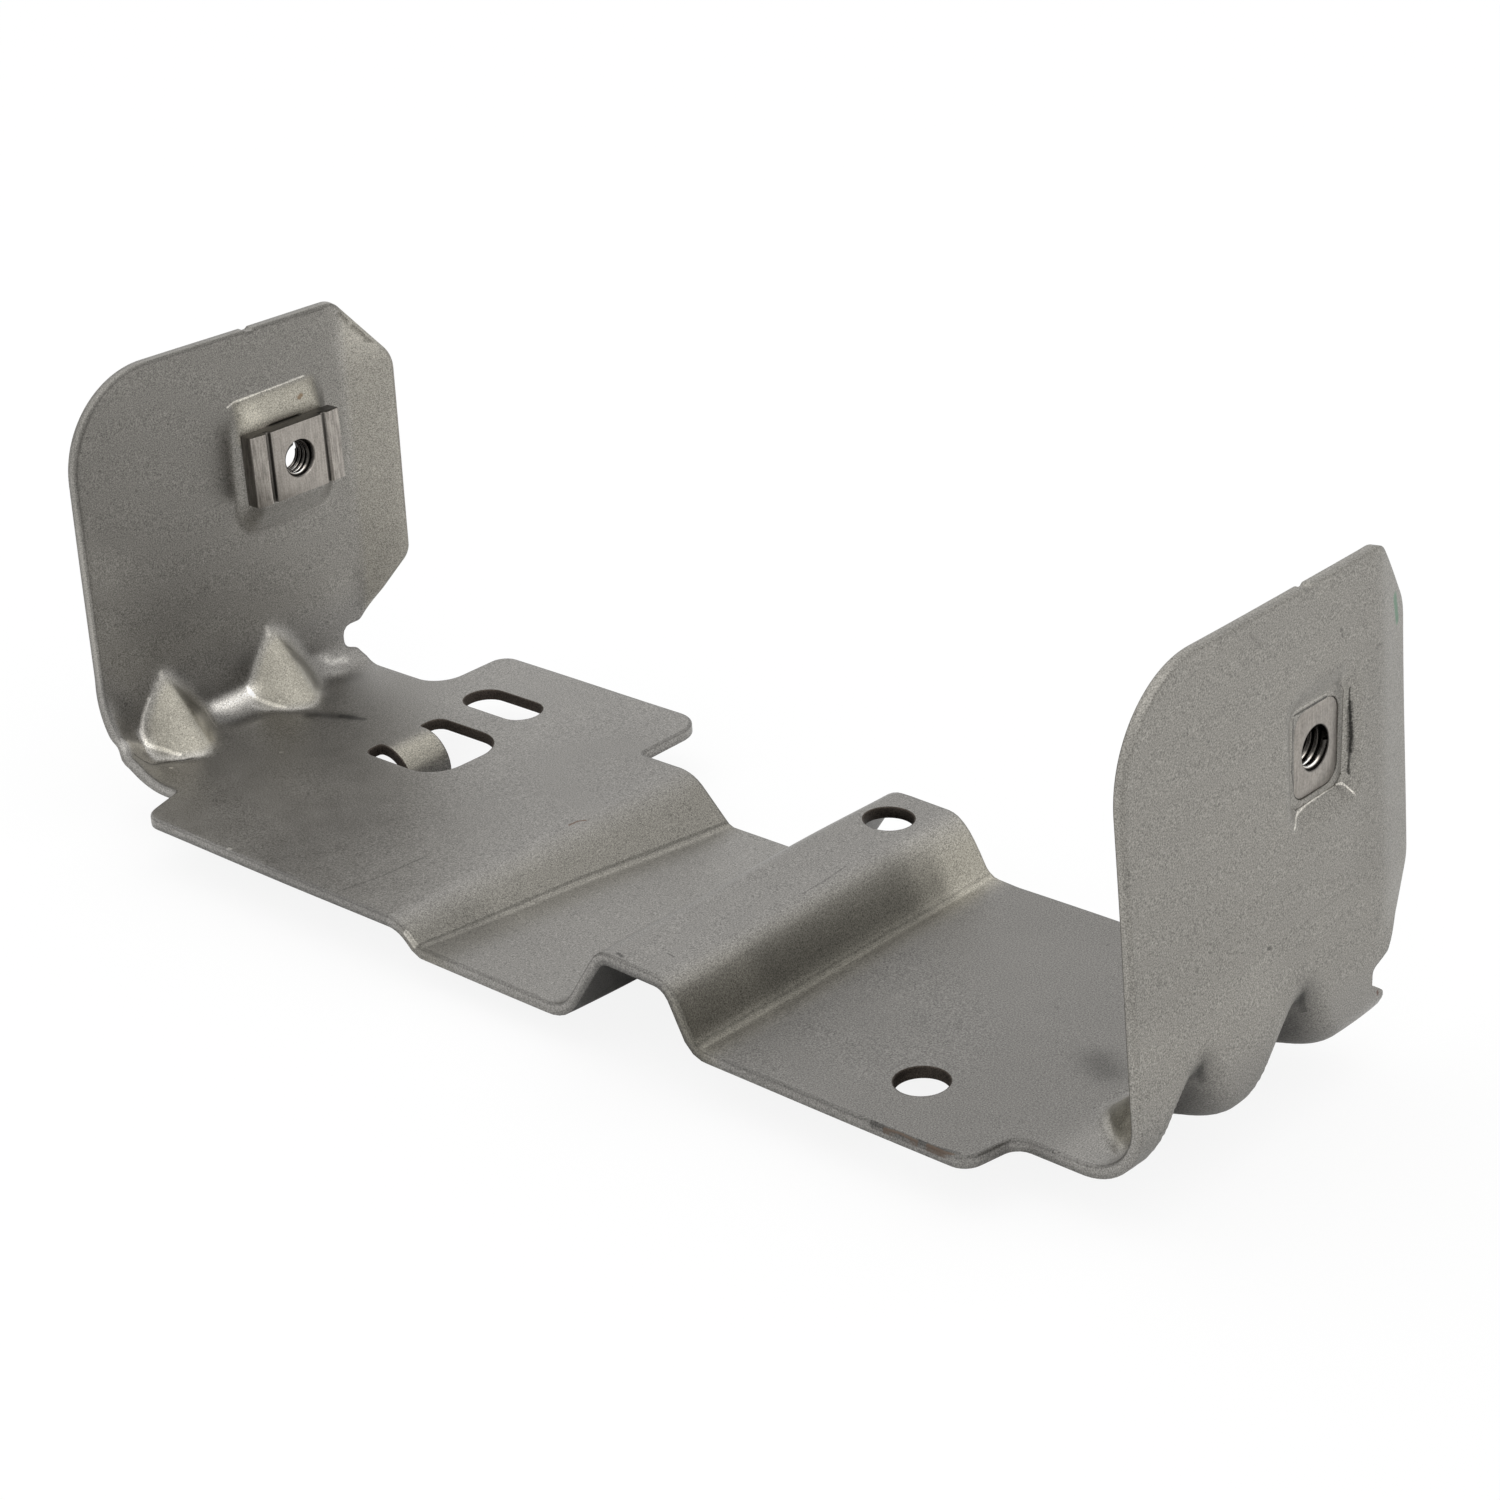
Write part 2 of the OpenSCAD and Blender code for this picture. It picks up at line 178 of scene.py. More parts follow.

# Soft marks, mostly painted shade in valleys, hollows and around the seats and painted highlights
# on crests, bends and folds, with a smudge and tongue streaks: points, half width, factor on the
# colour
SOFT_SHADING_AND_SMUDGES = (
    (((-110.0, -7.4), (-104.7, -6.2), (-100.5, -4.4), (-95.5, -5.2)), 1.8, 0.70),
    (((-107.4, 15.1), (-102.8, 16.6), (-98.7, 17.6), (-92.7, 15.6)), 1.8, 0.72),
    (((-111.0, -11.0), (-104.0, -11.4), (-96.0, -11.6)), 1.7, 1.14),
    (((-111.0, 11.4), (-104.0, 11.0), (-96.0, 11.0)), 1.7, 1.10),
    (((-108.0, -19.0), (-103.5, -19.5)), 1.6, 0.80),
    (((-108.0, 6.1), (-105.2, 4.1), (-104.0, -0.1), (-105.5, -3.5)), 1.7, 0.74),
    (((-101.0, -1.8), (-99.3, 0.2), (-98.3, 3.7)), 1.2, 0.48),
    (((-102.3, -1.0), (-102.2, 2.0), (-102.4, 5.8)), 1.15, 3.6),
    (((-99.2, -22.6), (-100.8, -18.4), (-100.6, -16.8)), 0.85, 2.0),
    (((-98.6, -21.5), (-96.9, -15.3), (-92.2, -10.4)), 0.8, 1.28),
    (((-90.7, 9.9), (-87.4, 11.9), (-84.4, 13.2)), 1.25, 0.42),
    (((-103.0, 22.4), (-101.6, 24.0), (-101.2, 26.6)), 0.5, 1.9),
    (((-99.6, 22.6), (-98.6, 24.0)), 0.6, 1.25),
    (((-104.5, 19.0), (-99.5, 20.5), (-97.0, 25.0)), 2.0, 0.78),
    (((-63.4, 9.6), (-63.0, 17.4)), 0.7, 0.60),
    (((-68.4, 9.2), (-68.2, 17.6)), 1.5, 1.20),
    (((79.4, -1.8), (82.0, -3.4)), 2.6, 0.62),
    (((108.4, -9.8), (103.2, -7.9), (95.8, -5.8)), 2.2, 0.54),
    (((108.4, 13.0), (102.7, 15.2), (97.3, 17.0)), 2.2, 0.54),
    (((108.9, -10.0), (107.2, -9.5)), 0.7, 0.55),
    (((108.9, 12.8), (107.2, 13.4)), 0.7, 0.55),
    (((149.0, 22.8), (140.0, 23.7), (132.3, 23.4)), 0.75, 0.76),
    (((149.6, 23.4), (146.0, 25.0), (134.0, 25.2)), 0.42, 1.14),
    (((148.9, 10.6), (150.2, 16.6), (150.4, 22.0)), 0.8, 0.86),
    (((132.6, 14.0), (133.3, 23.5)), 0.7, 0.88),
    (((-158.0, 32.6), (-144.0, 32.7), (-126.0, 32.2), (-118.0, 32.0)), 0.7, 1.16),
    (((-131.6, 9.0), (-131.4, 27.0)), 1.8, 1.12),
    (((-149.6, 11.6), (-147.6, 13.6)), 2.0, 1.32),
    (((-147.0, 8.6), (-135.0, 8.6)), 1.4, 1.18),
    (((-132.5, 8.8), (-131.0, 11.5)), 1.6, 1.20),
    (((-151.0, 25.8), (-146.0, 26.6)), 1.2, 0.72),
)

# Fine marks, mostly painted highlights and painted shade lines along dart edges, feet, seats and
# edges, with a die line and stains: points, half width, factor on the colour
FINE_SHADING_AND_MARKS = (
    (((-108.6, -14.0), (-106.1, -15.5), (-103.6, -16.4), (-101.2, -16.6), (-99.2, -15.4),
      (-96.0, -14.0)), 0.30, 1.9),
    (((-103.6, 5.9), (-101.4, 6.2), (-99.5, 7.0), (-96.2, 8.5)), 0.28, 1.8),
    (((-98.0, -21.0), (-96.3, -16.0), (-93.4, -13.0)), 0.20, 0.50),
    (((-102.9, -3.6), (-99.3, -3.4)), 0.20, 1.4),
    (((-86.0, 12.6), (-82.0, 13.9)), 0.6, 0.50),
    (((-38.0, -30.4), (-36.4, -23.4), (-35.8, -14.4)), 0.16, 0.66),
    (((-69.0, -8.8), (-66.5, -12.0)), 0.2, 0.82),
    (((-50.6, -24.2), (-48.5, -22.0)), 0.2, 0.78),
    (((-83.4, -2.8), (-83.2, -2.6)), 0.2, 1.7),
    (((-62.6, -30.8), (-62.2, -30.7)), 0.3, 1.8),
    (((-20.1, -31.1), (-18.6, 0.0), (-16.4, 31.0)), 0.22, 0.66),
    (((-19.3, -31.1), (-17.8, 0.0), (-15.6, 31.0)), 0.20, 1.14),
    (((35.0, -31.0), (35.1, 0.0), (35.5, 31.0)), 0.20, 0.78),
    (((35.8, -31.0), (35.9, 0.0), (36.2, 31.0)), 0.20, 1.16),
    (((28.4, -1.4), (28.4, 3.4), (28.0, 8.4)), 0.16, 0.68),
    (((25.6, -25.8), (26.8, -26.0)), 0.16, 0.60),
    (((20.3, -30.0), (21.3, -30.3)), 0.26, 0.45),
    (((65.4, -31.1), (70.0, -31.1), (76.0, -31.0), (79.0, -30.4)), 0.30, 0.58),
    (((-22.2, -31.2), (-20.3, -31.1)), 0.26, 2.2),
    (((-93.6, -17.3), (-93.3, -17.2)), 0.22, 2.4),
    (((86.5, -11.3), (87.3, -9.8), (88.3, -8.6), (90.6, -8.5)), 0.25, 1.18),
    (((161.7, 2.5), (159.0, 5.0)), 0.14, 0.80),
    (((118.7, 4.6), (118.5, 5.2)), 0.22, 0.50),
    (((123.4, -7.6), (123.2, -7.3)), 0.20, 0.60),
    (((119.8, 27.7), (118.5, 11.3)), 0.3, 0.92),
    (((147.0, 13.2), (147.0, 20.4)), 0.17, 0.34),
    (((147.5, 13.0), (147.5, 20.4)), 0.13, 1.45),
    (((146.9, 25.9), (140.0, 26.2), (134.6, 26.0)), 0.13, 0.28),
    (((144.8, 26.0), (138.0, 26.1)), 0.26, 0.45),
    (((132.2, 10.9), (132.3, 13.1), (132.6, 15.5), (133.0, 24.6), (132.0, 25.2)), 0.17, 2.5),
    (((146.6, 12.9), (139.3, 12.7), (135.6, 13.5)), 0.14, 0.46),
    (((-152.3, 8.2), (-152.8, 9.6), (-153.1, 24.5)), 0.13, 2.3),
    (((-129.8, 20.6), (-130.2, 27.2)), 0.14, 1.25),
    (((-112.2, -11.0), (-111.2, -11.2)), 0.45, 1.5),
    (((-112.5, 11.3), (-111.0, 11.3)), 0.5, 1.6),
    (((108.9, 12.8), (107.1, 14.0), (105.0, 15.3)), 0.35, 0.60),
    (((108.9, -9.8), (107.4, -8.9), (105.7, -7.8)), 0.35, 0.65),
)

# Spots of another colour: points, half width, colour
SPOTS = (
    (((-25.7, 5.8), (-25.6, 7.6), (-25.0, 8.6)), 0.20, (0.13, 0.08, 0.055)),
    (((-75.8, -31.8), (-75.4, -31.8)), 0.4, (0.09, 0.05, 0.03)),
    (((-66.2, -31.8), (-65.8, -31.8)), 0.35, (0.10, 0.06, 0.035)),
    (((-150.2, 22.0), (-150.5, 22.8)), 0.3, (0.22, 0.15, 0.09)),
    (((101.8, 29.9), (101.6, 30.0)), 0.22, (0.11, 0.05, 0.035)),
    (((114.7, -24.3), (114.5, -24.2)), 0.25, (0.12, 0.045, 0.03)),
    (((154.4, 37.2), (151.0, 38.2)), 0.7, (0.07, 0.19, 0.11)),
    (((67.5, -31.2), (70.0, -31.0), (72.9, -31.15)), 0.16, (0.12, 0.09, 0.07)),
    (((74.5, -31.05), (77.0, -31.15), (78.6, -30.9)), 0.2, (0.11, 0.08, 0.06)),
)

# Nuts
NUT_Y = 18.2
NUT_Z = 47.0
SEAT_X = {-1: -98.7872, 1: 96.9462}
SEAT_FOOT = {-1: (20.6, 23.4), 1: (16.6, 19.4)}
SEAT_TOP = {-1: (15.6, 15.8), 1: (13.2, 14.8)}

# Camera, matched to the photograph: angles in degrees, the rest in millimetres
# and in pixels of its 1500 x 1500 frame
CAMERA = {
    "azimuth": 43.664,
    "elevation": 24.246,
    "roll": -3.528,
    "focal": 3197.798,
    "distance": 469.947,
    "move": (-10.166, -28.623),
    "centre": (737.085, 722.023),
    "frame": 1500,
}


def placed(points):
    """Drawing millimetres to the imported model's metres."""
    return (np.asarray(points, dtype=float) - ORIGIN) * MM


def smooth(low, high, value):
    """0 below low, 1 above high and an even curve between them."""
    t = np.clip((value - low) / (high - low), 0.0, 1.0)
    return t * t * (3 - 2 * t)


# Settings


class SheetSettings(bpy.types.PropertyGroup):
    """Sizes of the folded sheet"""

    thickness: FloatProperty(
        name="Thickness",
        description="Thickness of the steel sheet",
        default=0.0018,
        min=0.001,
        max=0.003,
        unit="LENGTH",
        precision=4,
    )
    bend_radius: FloatProperty(
        name="Bend Radius",
        description="Inner radius of the bends between the floor and the ears",
        default=0.0046,
        min=0.003,
        max=0.009,
        unit="LENGTH",
        precision=4,
    )
    dart_rise: FloatProperty(
        name="Dart Rise",
        description="Height of a dart on the ear above the floor",
        default=0.0138,
        min=0.008,
        max=0.018,
        unit="LENGTH",
        precision=4,
    )
    dart_reach: FloatProperty(
        name="Dart Reach",
        description="Reach of a dart over the floor, from the ear",
        default=0.012,
        min=0.008,
        max=0.016,
        unit="LENGTH",
        precision=4,
    )
    dart_flank: FloatProperty(
        name="Dart Flank",
        description="Half of the angle between the two flanks of a dart",
        default=math.radians(34),
        min=math.radians(25),
        max=math.radians(60),
        subtype="ANGLE",
    )
    unevenness: FloatProperty(
        name="Unevenness",
        description="How far the flat areas wander from true flat",
        default=0.00006,
        min=0.0,
        max=0.0004,
        unit="LENGTH",
        precision=5,
    )
    mesh_step: FloatProperty(
        name="Mesh Step",
        description="Distance between the points of the mesh on the flat areas",
        default=0.0012,
        min=0.0008,
        max=0.004,
        unit="LENGTH",
        precision=4,
    )


class NutSettings(bpy.types.PropertyGroup):
    """Sizes of the pierce nuts"""

    body_depth: FloatProperty(
        name="Body Depth",
        description="How far the nut stands up from its seat",
        default=0.003,
        min=0.002,
        max=0.005,
        unit="LENGTH",
        precision=4,
    )
    thread_size: FloatProperty(
        name="Thread Size",
        description="Outer diameter of the thread",
        default=0.006,
        min=0.005,
        max=0.008,
        unit="LENGTH",
        precision=4,
    )
    thread_pitch: FloatProperty(
        name="Thread Pitch",
        description="Distance from one turn of the thread to the next",
        default=0.001,
        min=0.0005,
        max=0.0015,
        unit="LENGTH",
        precision=4,
    )


class FinishSettings(bpy.types.PropertyGroup):
    """Colours and roughness of the two steels"""

    sheet_colour: FloatVectorProperty(
        name="Sheet Colour",
        description="Colour of the bare rolled sheet",
        default=(0.271, 0.262, 0.246),
        min=0.0,
        max=1.0,
        size=3,
        subtype="COLOR",
    )
    drawn_colour: FloatVectorProperty(
        name="Drawn Colour",
        description="Colour of the sheet where the press stretched it",
        default=(0.283, 0.268, 0.229),
        min=0.0,
        max=1.0,
        size=3,
        subtype="COLOR",
    )
    nut_colour: FloatVectorProperty(
        name="Nut Colour",
        description="Colour of the drawn steel of the nuts",
        default=(0.335, 0.31, 0.28),
        min=0.0,
        max=1.0,
        size=3,
        subtype="COLOR",
    )
    sheet_roughness: FloatProperty(
        name="Sheet Roughness",
        description="Roughness of the bare rolled sheet",
        default=0.44,
        min=0.1,
        max=0.9,
    )
    floor_colour: FloatVectorProperty(
        name="Floor Colour",
        description="Colour of the studio floor",
        default=(0.86, 0.86, 0.86),
        min=0.0,
        max=1.0,
        size=3,
        subtype="COLOR",
    )


# Node trees


class Reading:
    """A socket of a node tree that can stand in a Python expression."""

    def __init__(self, maker, socket):
        self.maker = maker
        self.socket = socket

    def of(self, name):
        """Another output of the same node."""
        return Reading(self.maker, self.socket.node.outputs[name])

    def maths(self, operation, *values):
        settings = {"operation": operation}
        return self.maker.node("ShaderNodeMath", settings, dict(enumerate(values)))

    def __add__(self, other):
        return self.maths("ADD", self, other)

    def __radd__(self, other):
        return self.maths("ADD", other, self)

    def __sub__(self, other):
        return self.maths("SUBTRACT", self, other)

    def __rsub__(self, other):
        return self.maths("SUBTRACT", other, self)

    def __mul__(self, other):
        return self.maths("MULTIPLY", self, other)

    def __rmul__(self, other):
        return self.maths("MULTIPLY", other, self)

    def __truediv__(self, other):
        return self.maths("DIVIDE", self, other)

    def __rtruediv__(self, other):
        return self.maths("DIVIDE", other, self)

    def __pow__(self, other):
        return self.maths("POWER", self, other)

    def __abs__(self):
        return self.maths("ABSOLUTE", self)

    def clamped(self):
        """Kept within 0 and 1; two nodes in order take less room than a clamping one."""
        return self.smallest(1.0).largest(0.0)

    def smallest(self, other):
        return self.maths("MINIMUM", self, other)

    def largest(self, other):
        return self.maths("MAXIMUM", self, other)

    def rising(self, low, high):
        """0 at low, 1 at high, with an even curve between them."""
        settings = {"interpolation_type": "SMOOTHSTEP"}
        return self.maker.node("ShaderNodeMapRange", settings, {0: self, 1: low, 2: high})


class NodeMaker:
    """Adds nodes to one tree."""

    def __init__(self, tree):
        self.tree = tree
        tree.nodes.clear()

    def node(self, kind, settings=None, inputs=None, output=0):
        """Adds a node: its settings first, then the values or links of its sockets."""
        node = self.tree.nodes.new(kind)
        for name, value in (settings or {}).items():
            if name == "stops":
                elements = node.color_ramp.elements
                while len(elements) < len(value):
                    elements.new(0.5)
                for element, (place, level) in zip(elements, value):
                    element.position = place
                    element.color = (level, level, level, 1.0)
            else:
                setattr(node, name, value)
        for key, value in (inputs or {}).items():
            socket = node.inputs[key]
            if isinstance(value, Reading):
                self.tree.links.new(value.socket, socket)
            else:
                socket.default_value = value
        if not node.outputs:
            return None
        return Reading(self, node.outputs[output])

    def attribute(self, name):
        """A number stored on the mesh."""
        return self.node("ShaderNodeAttribute", {"attribute_name": name}).of("Fac")

    def vector(self, operation, first, second=(0.0, 0.0, 0.0), scale=1.0):
        inputs = {0: first, 1: second, 3: scale}
        return self.node("ShaderNodeVectorMath", {"operation": operation}, inputs)

    def stroke(self, place, points, width, wobble):
        """1 on a line through the given points of the blank, 0 beside it."""
        nearest = None
        for (u1, y1), (u2, y2) in zip(points, points[1:]):
            along = ((u2 - u1) * MM, (y2 - y1) * MM, 0.0)
            size = along[0] ** 2 + along[1] ** 2
            away = self.vector("SUBTRACT", place, (u1 * MM, y1 * MM, 0.0))
            share = self.vector("DOT_PRODUCT", away, along).of("Value") / size
            foot = self.vector("SCALE", along, scale=share.clamped())
            gap = self.vector("LENGTH", self.vector("SUBTRACT", away, foot)).of("Value")
            nearest = gap if nearest is None else nearest.smallest(gap)
        return 1.0 - (nearest + wobble).rising(width * 0.4 * MM, width * 1.5 * MM)

    def mix(self, factor, first, second, blend="MIX"):
        """Mixes two colours."""
        settings = {"data_type": "RGBA", "blend_type": blend}
        return self.node("ShaderNodeMix", settings, {0: factor, 6: first, 7: second}, 2)

    def noise(self, where, size, detail=2.0, roughness=0.5, stretch=None, seed=0.0):
        """Noise with features of the given size in millimetres."""
        scale = 1.0 / (size * MM)
        if stretch:
            inputs = {0: where, 1: (seed, 0.0, 0.0), 3: stretch}
            where = self.node("ShaderNodeMapping", {"vector_type": "POINT"}, inputs)
        settings = {"noise_dimensions": "4D" if not stretch else "3D"}
        values = {"Vector": where, "Scale": scale, "Detail": detail, "Roughness": roughness}
        if not stretch:
            values["W"] = seed
        return self.node("ShaderNodeTexNoise", settings, values)


def rgba(colour):
    return (colour[0], colour[1], colour[2], 1.0)


def new_material(name):
    material = bpy.data.materials.new(name)
    material.use_nodes = True
    return material, NodeMaker(material.node_tree)


def surface_output(maker, shader):
    maker.node("ShaderNodeOutputMaterial", None, {"Surface": shader})


def sheet_steel(finish):
    """Bare rolled steel: dull grey, fine grain, burnished where it was drawn, with painted light
    and shade in lines and areas.
    """
    material, maker = new_material("sheet_steel")
    where = maker.node("ShaderNodeTexCoord").of("Object")
    cloud = maker.noise(where, 26, 3, 0.55, seed=1.0)
    mottle = maker.noise(where, 4.5, 4, 0.6, seed=2.0)
    coarse = maker.noise(where, 0.42, 2, 0.6, seed=3.0)
    grain = maker.noise(where, 0.2, 1, 0.5, seed=4.0)
    burnish = maker.attribute("burnish")
    cut = maker.attribute("cut")
    wall = maker.attribute("wall")
    blank = maker.node("ShaderNodeAttribute", {"attribute_name": "blank"}).of("Vector")
    blank = maker.vector("MULTIPLY", blank, (1.0, 1.0, 0.0))
    outer = wall.rising(0.4, 0.6)
    upper = 1.0 - outer
    level = 1.0 + (cloud - 0.5) * 0.20 + (mottle - 0.5) * 0.22
    level = level + (coarse - 0.5) * 0.38 + (grain - 0.5) * 2.1
    specks = maker.noise(where, 1.3, 2, 0.5, seed=7.0).rising(0.70, 0.76)
    level = level * (1.0 - specks * 0.28)
    # Painted light and shade, with a few smudges, read from the mesh
    level = level * maker.attribute("tone")
    sparks = coarse.rising(0.60, 0.70) * 0.55
    level = level + burnish * upper * (0.26 + (mottle - 0.5) * 0.9 + sparks)
    wobble = (mottle - 0.5) * (0.35 * MM) + (coarse - 0.5) * (0.22 * MM)
    # Fine lines: mostly painted highlights and painted shade, with a few real marks and stains
    for points, width, factor in FINE_SHADING_AND_MARKS:
        face = outer if faces_out(points[0][0]) else upper
        mask = maker.stroke(blank, points, width, wobble) * face
        level = level * (1.0 + mask * (factor - 1.0))
    # Sheared edges: the torn band darker as its own rough steel, the rolled-over band darker as
    # painted shade. Openings: walls darker and browner, partly their own torn steel, partly painted
    # shade.
    opening = cut.rising(1.1, 1.9)
    edge = cut.clamped() * (1.0 - opening)
    torn = wall.rising(0.50, 0.72) * (0.5 + (coarse - 0.5) * 2.0)
    rollover_shade = 1.0 - wall.rising(0.12, 0.26)
    level = level * (1.0 - edge * (rollover_shade * 0.34 + torn * 0.30 - 0.06))
    level = level * (1.0 - opening * 0.70)
    grey = maker.node("ShaderNodeCombineColor", None, {0: level, 1: level, 2: level})
    warmth = (burnish * upper).largest(maker.attribute("warmth")).clamped()
    tint = maker.mix(warmth, rgba(finish.sheet_colour), rgba(finish.drawn_colour))
    tint = maker.mix(opening, tint, (0.28, 0.235, 0.20, 1.0))
    colour = maker.mix(1.0, tint, grey, "MULTIPLY")
    for points, width, paint in SPOTS:
        face = outer if faces_out(points[0][0]) else upper
        mask = maker.stroke(blank, points, width, wobble) * face
        colour = maker.mix(mask * 0.8, colour, rgba(paint))
    rough = finish.sheet_roughness + (mottle - 0.5) * 0.16 + (coarse - 0.5) * 0.2
    rough = rough - burnish * upper * 0.12 + opening * 0.2
    bump = maker.node("ShaderNodeBump", None, {
        "Strength": 0.30,
        "Distance": 0.0001,
        "Height": coarse * 0.6 + mottle * 0.5 + grain * 0.25,
    })
    shader = maker.node("ShaderNodeBsdfPrincipled", None, {
        "Base Color": colour,
        "Metallic": 1.0,
        "Roughness": rough,
        "Normal": bump,
    })
    surface_output(maker, shader)
    return material


def nut_steel(finish):
    """Drawn steel of the nuts: streaks along the bar, sheared ends, painted shade on the top, in
    the grooves and in the bore, painted highlights on the rims and thread crests.
    """
    material, maker = new_material("nut_steel")
    where = maker.node("ShaderNodeTexCoord").of("Object")
    parts = maker.node("ShaderNodeSeparateXYZ", None, {0: where})
    facing = maker.node("ShaderNodeSeparateXYZ", None, {
        0: maker.node("ShaderNodeNewGeometry").of("Normal"),
    })
    middle = placed((0.0, NUT_Y, NUT_Z))
    along = parts.of("Y") - float(middle[1])
    above = parts.of("Z") - float(middle[2])
    outward = abs(parts.of("X"))
    mottle = maker.noise(where, 2.2, 3, 0.6, seed=5.0)
    fine = maker.noise(where, 0.3, 2, 0.6, seed=6.0)
    streaks = maker.noise(where, 0.35, 2, 0.6, stretch=(1.0, 1.0, 0.10))
    wings = abs(along).rising(6.0 * MM, 6.6 * MM)
    level = 1.0 + (mottle - 0.5) * 0.5 + (streaks - 0.5) * (0.8 + wings) + (fine - 0.5) * 0.9
    # End faces darker, partly their own sheared steel and partly painted shade; the top face darker
    # as painted shade; the sloping rims lighter as a painted highlight
    end = abs(facing.of("Y")).rising(0.70, 0.95)
    top = facing.of("Z").rising(0.70, 0.95)
    rim = facing.of("Z").rising(0.20, 0.45) * (1.0 - top)
    level = level * (1.0 - end * 0.52) * (1.0 - top * 0.73) * (1.0 + rim * 0.5)
    # Painted shade on the walls and the floor of the two grooves
    body = 1.0 - outward.rising(0.0958, 0.0962)
    groove = abs(abs(along) - 5.83 * MM)
    groove_wall_shade = 1.0 - abs(groove - 0.30 * MM).rising(0.08 * MM, 0.24 * MM)
    inside = 1.0 - groove.rising(0.34 * MM, 0.46 * MM)
    level = level * (1.0 - body * groove_wall_shade * 0.55) * (1.0 - body * inside * 0.55)
    # Painted shade in the bore, lighter towards its lower side, with painted highlights on the
    # thread crests there
    radius = (along * along + above * above) ** 0.5
    bore = 1.0 - radius.rising(3.04 * MM, 3.30 * MM)
    crest = 1.0 - radius.rising(2.56 * MM, 2.80 * MM)
    low = (0.0 - along * 0.5 - above * 0.85).rising(0.4 * MM, 2.3 * MM)
    level = level * (1.0 - bore * (0.84 - low * (0.20 + crest * 3.8)))
    pilot = facing.of("X").rising(0.8, 0.95) * outward.rising(0.0985, 0.0988) * (1.0 - bore)
    level = level * (1.0 - pilot * 0.10)
    grey = maker.node("ShaderNodeCombineColor", None, {0: level, 1: level, 2: level})
    colour = maker.mix(1.0, rgba(finish.nut_colour), grey, "MULTIPLY")
    rough = 0.36 + (mottle - 0.5) * 0.2 - bore * 0.12
    bump = maker.node("ShaderNodeBump", None, {
        "Strength": 0.25,
        "Distance": 0.0001,
        "Height": streaks + fine * 0.5,
    })
    shader = maker.node("ShaderNodeBsdfPrincipled", None, {
        "Base Color": colour,
        "Metallic": 1.0,
        "Roughness": rough,
        "Normal": bump,
    })
    surface_output(maker, shader)
    return material


# The folded sheet


def middle_height(y):
    return -math.tan(MIDDLE_FALL) * y


def floor_height(x, y):
    """Upper surface of the floor between the two ear bends."""
    middle = middle_height(y)
    foot = STEP_HEAD + LEFT_Z - middle
    left_slope = math.radians(56)
    right_slope = math.radians(63.8)
    top_slope = math.atan2(RIDGE_RIGHT[1] - RIDGE_LEFT[1], RIDGE_RIGHT[0] - RIDGE_LEFT[0])
    x = x - 0.5 * smooth(20.0, 31.0, y) * smooth(RIDGE_RIGHT[0], RIDGE_RIGHT[0] + 3.0, x)
    ridge_foot = RIDGE_LEFT[0] - (RIDGE_LEFT[1] - middle) / math.tan(left_slope)
    ridge_end = RIDGE_RIGHT[0] + (RIDGE_RIGHT[1] - RIGHT_Z) / math.tan(right_slope)
    flat = np.zeros_like(x)
    corners = (
        (STEP_HEAD + flat, LEFT_Z + flat, 0.0, -math.pi / 4, 7.0),
        (foot, middle, -math.pi / 4, 0.0, 2.0),
        (ridge_foot, middle, 0.0, left_slope, 5.0),
        (RIDGE_LEFT[0] + flat, RIDGE_LEFT[1] + flat, left_slope, top_slope, 4.0),
        (RIDGE_RIGHT[0] + flat, RIDGE_RIGHT[1] + flat, top_slope, -right_slope, 4.4),
        (ridge_end + flat, RIGHT_Z + flat, -right_slope, 0.0, 2.6),
    )
    z = LEFT_Z + flat
    for bx, bz, before, after, radius in corners:
        z = np.where(x > bx, bz + (x - bx) * math.tan(after), z)
    for bx, bz, before, after, radius in corners:
        tangent = radius * math.tan(abs(after - before) / 2)
        start = bx - tangent * math.cos(before)
        end = bx + tangent * math.cos(after)
        side = 1.0 if after > before else -1.0
        cx = start - side * radius * math.sin(before)
        cz = bz - tangent * math.sin(before) + side * radius * math.cos(before)
        drop = np.sqrt(np.maximum(radius ** 2 - (x - cx) ** 2, 0.0))
        z = np.where((x > start) & (x < end), cz - side * drop, z)
    return z


def bend_radius(side, y, sheet):
    """Inner radius of an ear bend, which opens out towards the front."""
    radius = sheet.bend_radius / MM + np.zeros_like(y)
    if side < 0:
        return radius + 10.0 * smooth(-16.0, -23.5, y)
    return radius - 0.2 + 3.0 * smooth(-14.0, -22.0, y) - 0.6 * smooth(18.0, 28.0, y)


def ear_line(side, y, sheet):
    """Start of the bend, its radius, arc length, and its end on the ear."""
    lean = LEAN[side]
    level = LEVEL[side]
    face = -HALF_SPAN + math.tan(lean) * level
    if side > 0:
        face = face + 1.8 / math.cos(lean)
    radius = bend_radius(side, y, sheet)
    turn = math.pi / 2 + lean
    start = face + radius * math.tan(turn / 2)
    end_x = start - radius * math.sin(turn)
    end_z = level + radius - radius * math.cos(turn)
    return start, radius, radius * turn, end_x, end_z


def blank_of_height(side, y, z, sheet):
    """Place u on the flat blank of the point of an ear at depth y and height z."""
    start, radius, length, end_x, end_z = ear_line(side, y, sheet)
    level = LEVEL[side]
    angle = np.arccos(np.clip(1 - (z - level) / radius, -1.0, 1.0))
    run = np.where(z < end_z, radius * angle, length + (z - end_z) / math.cos(LEAN[side]))
    return side * (run - start)


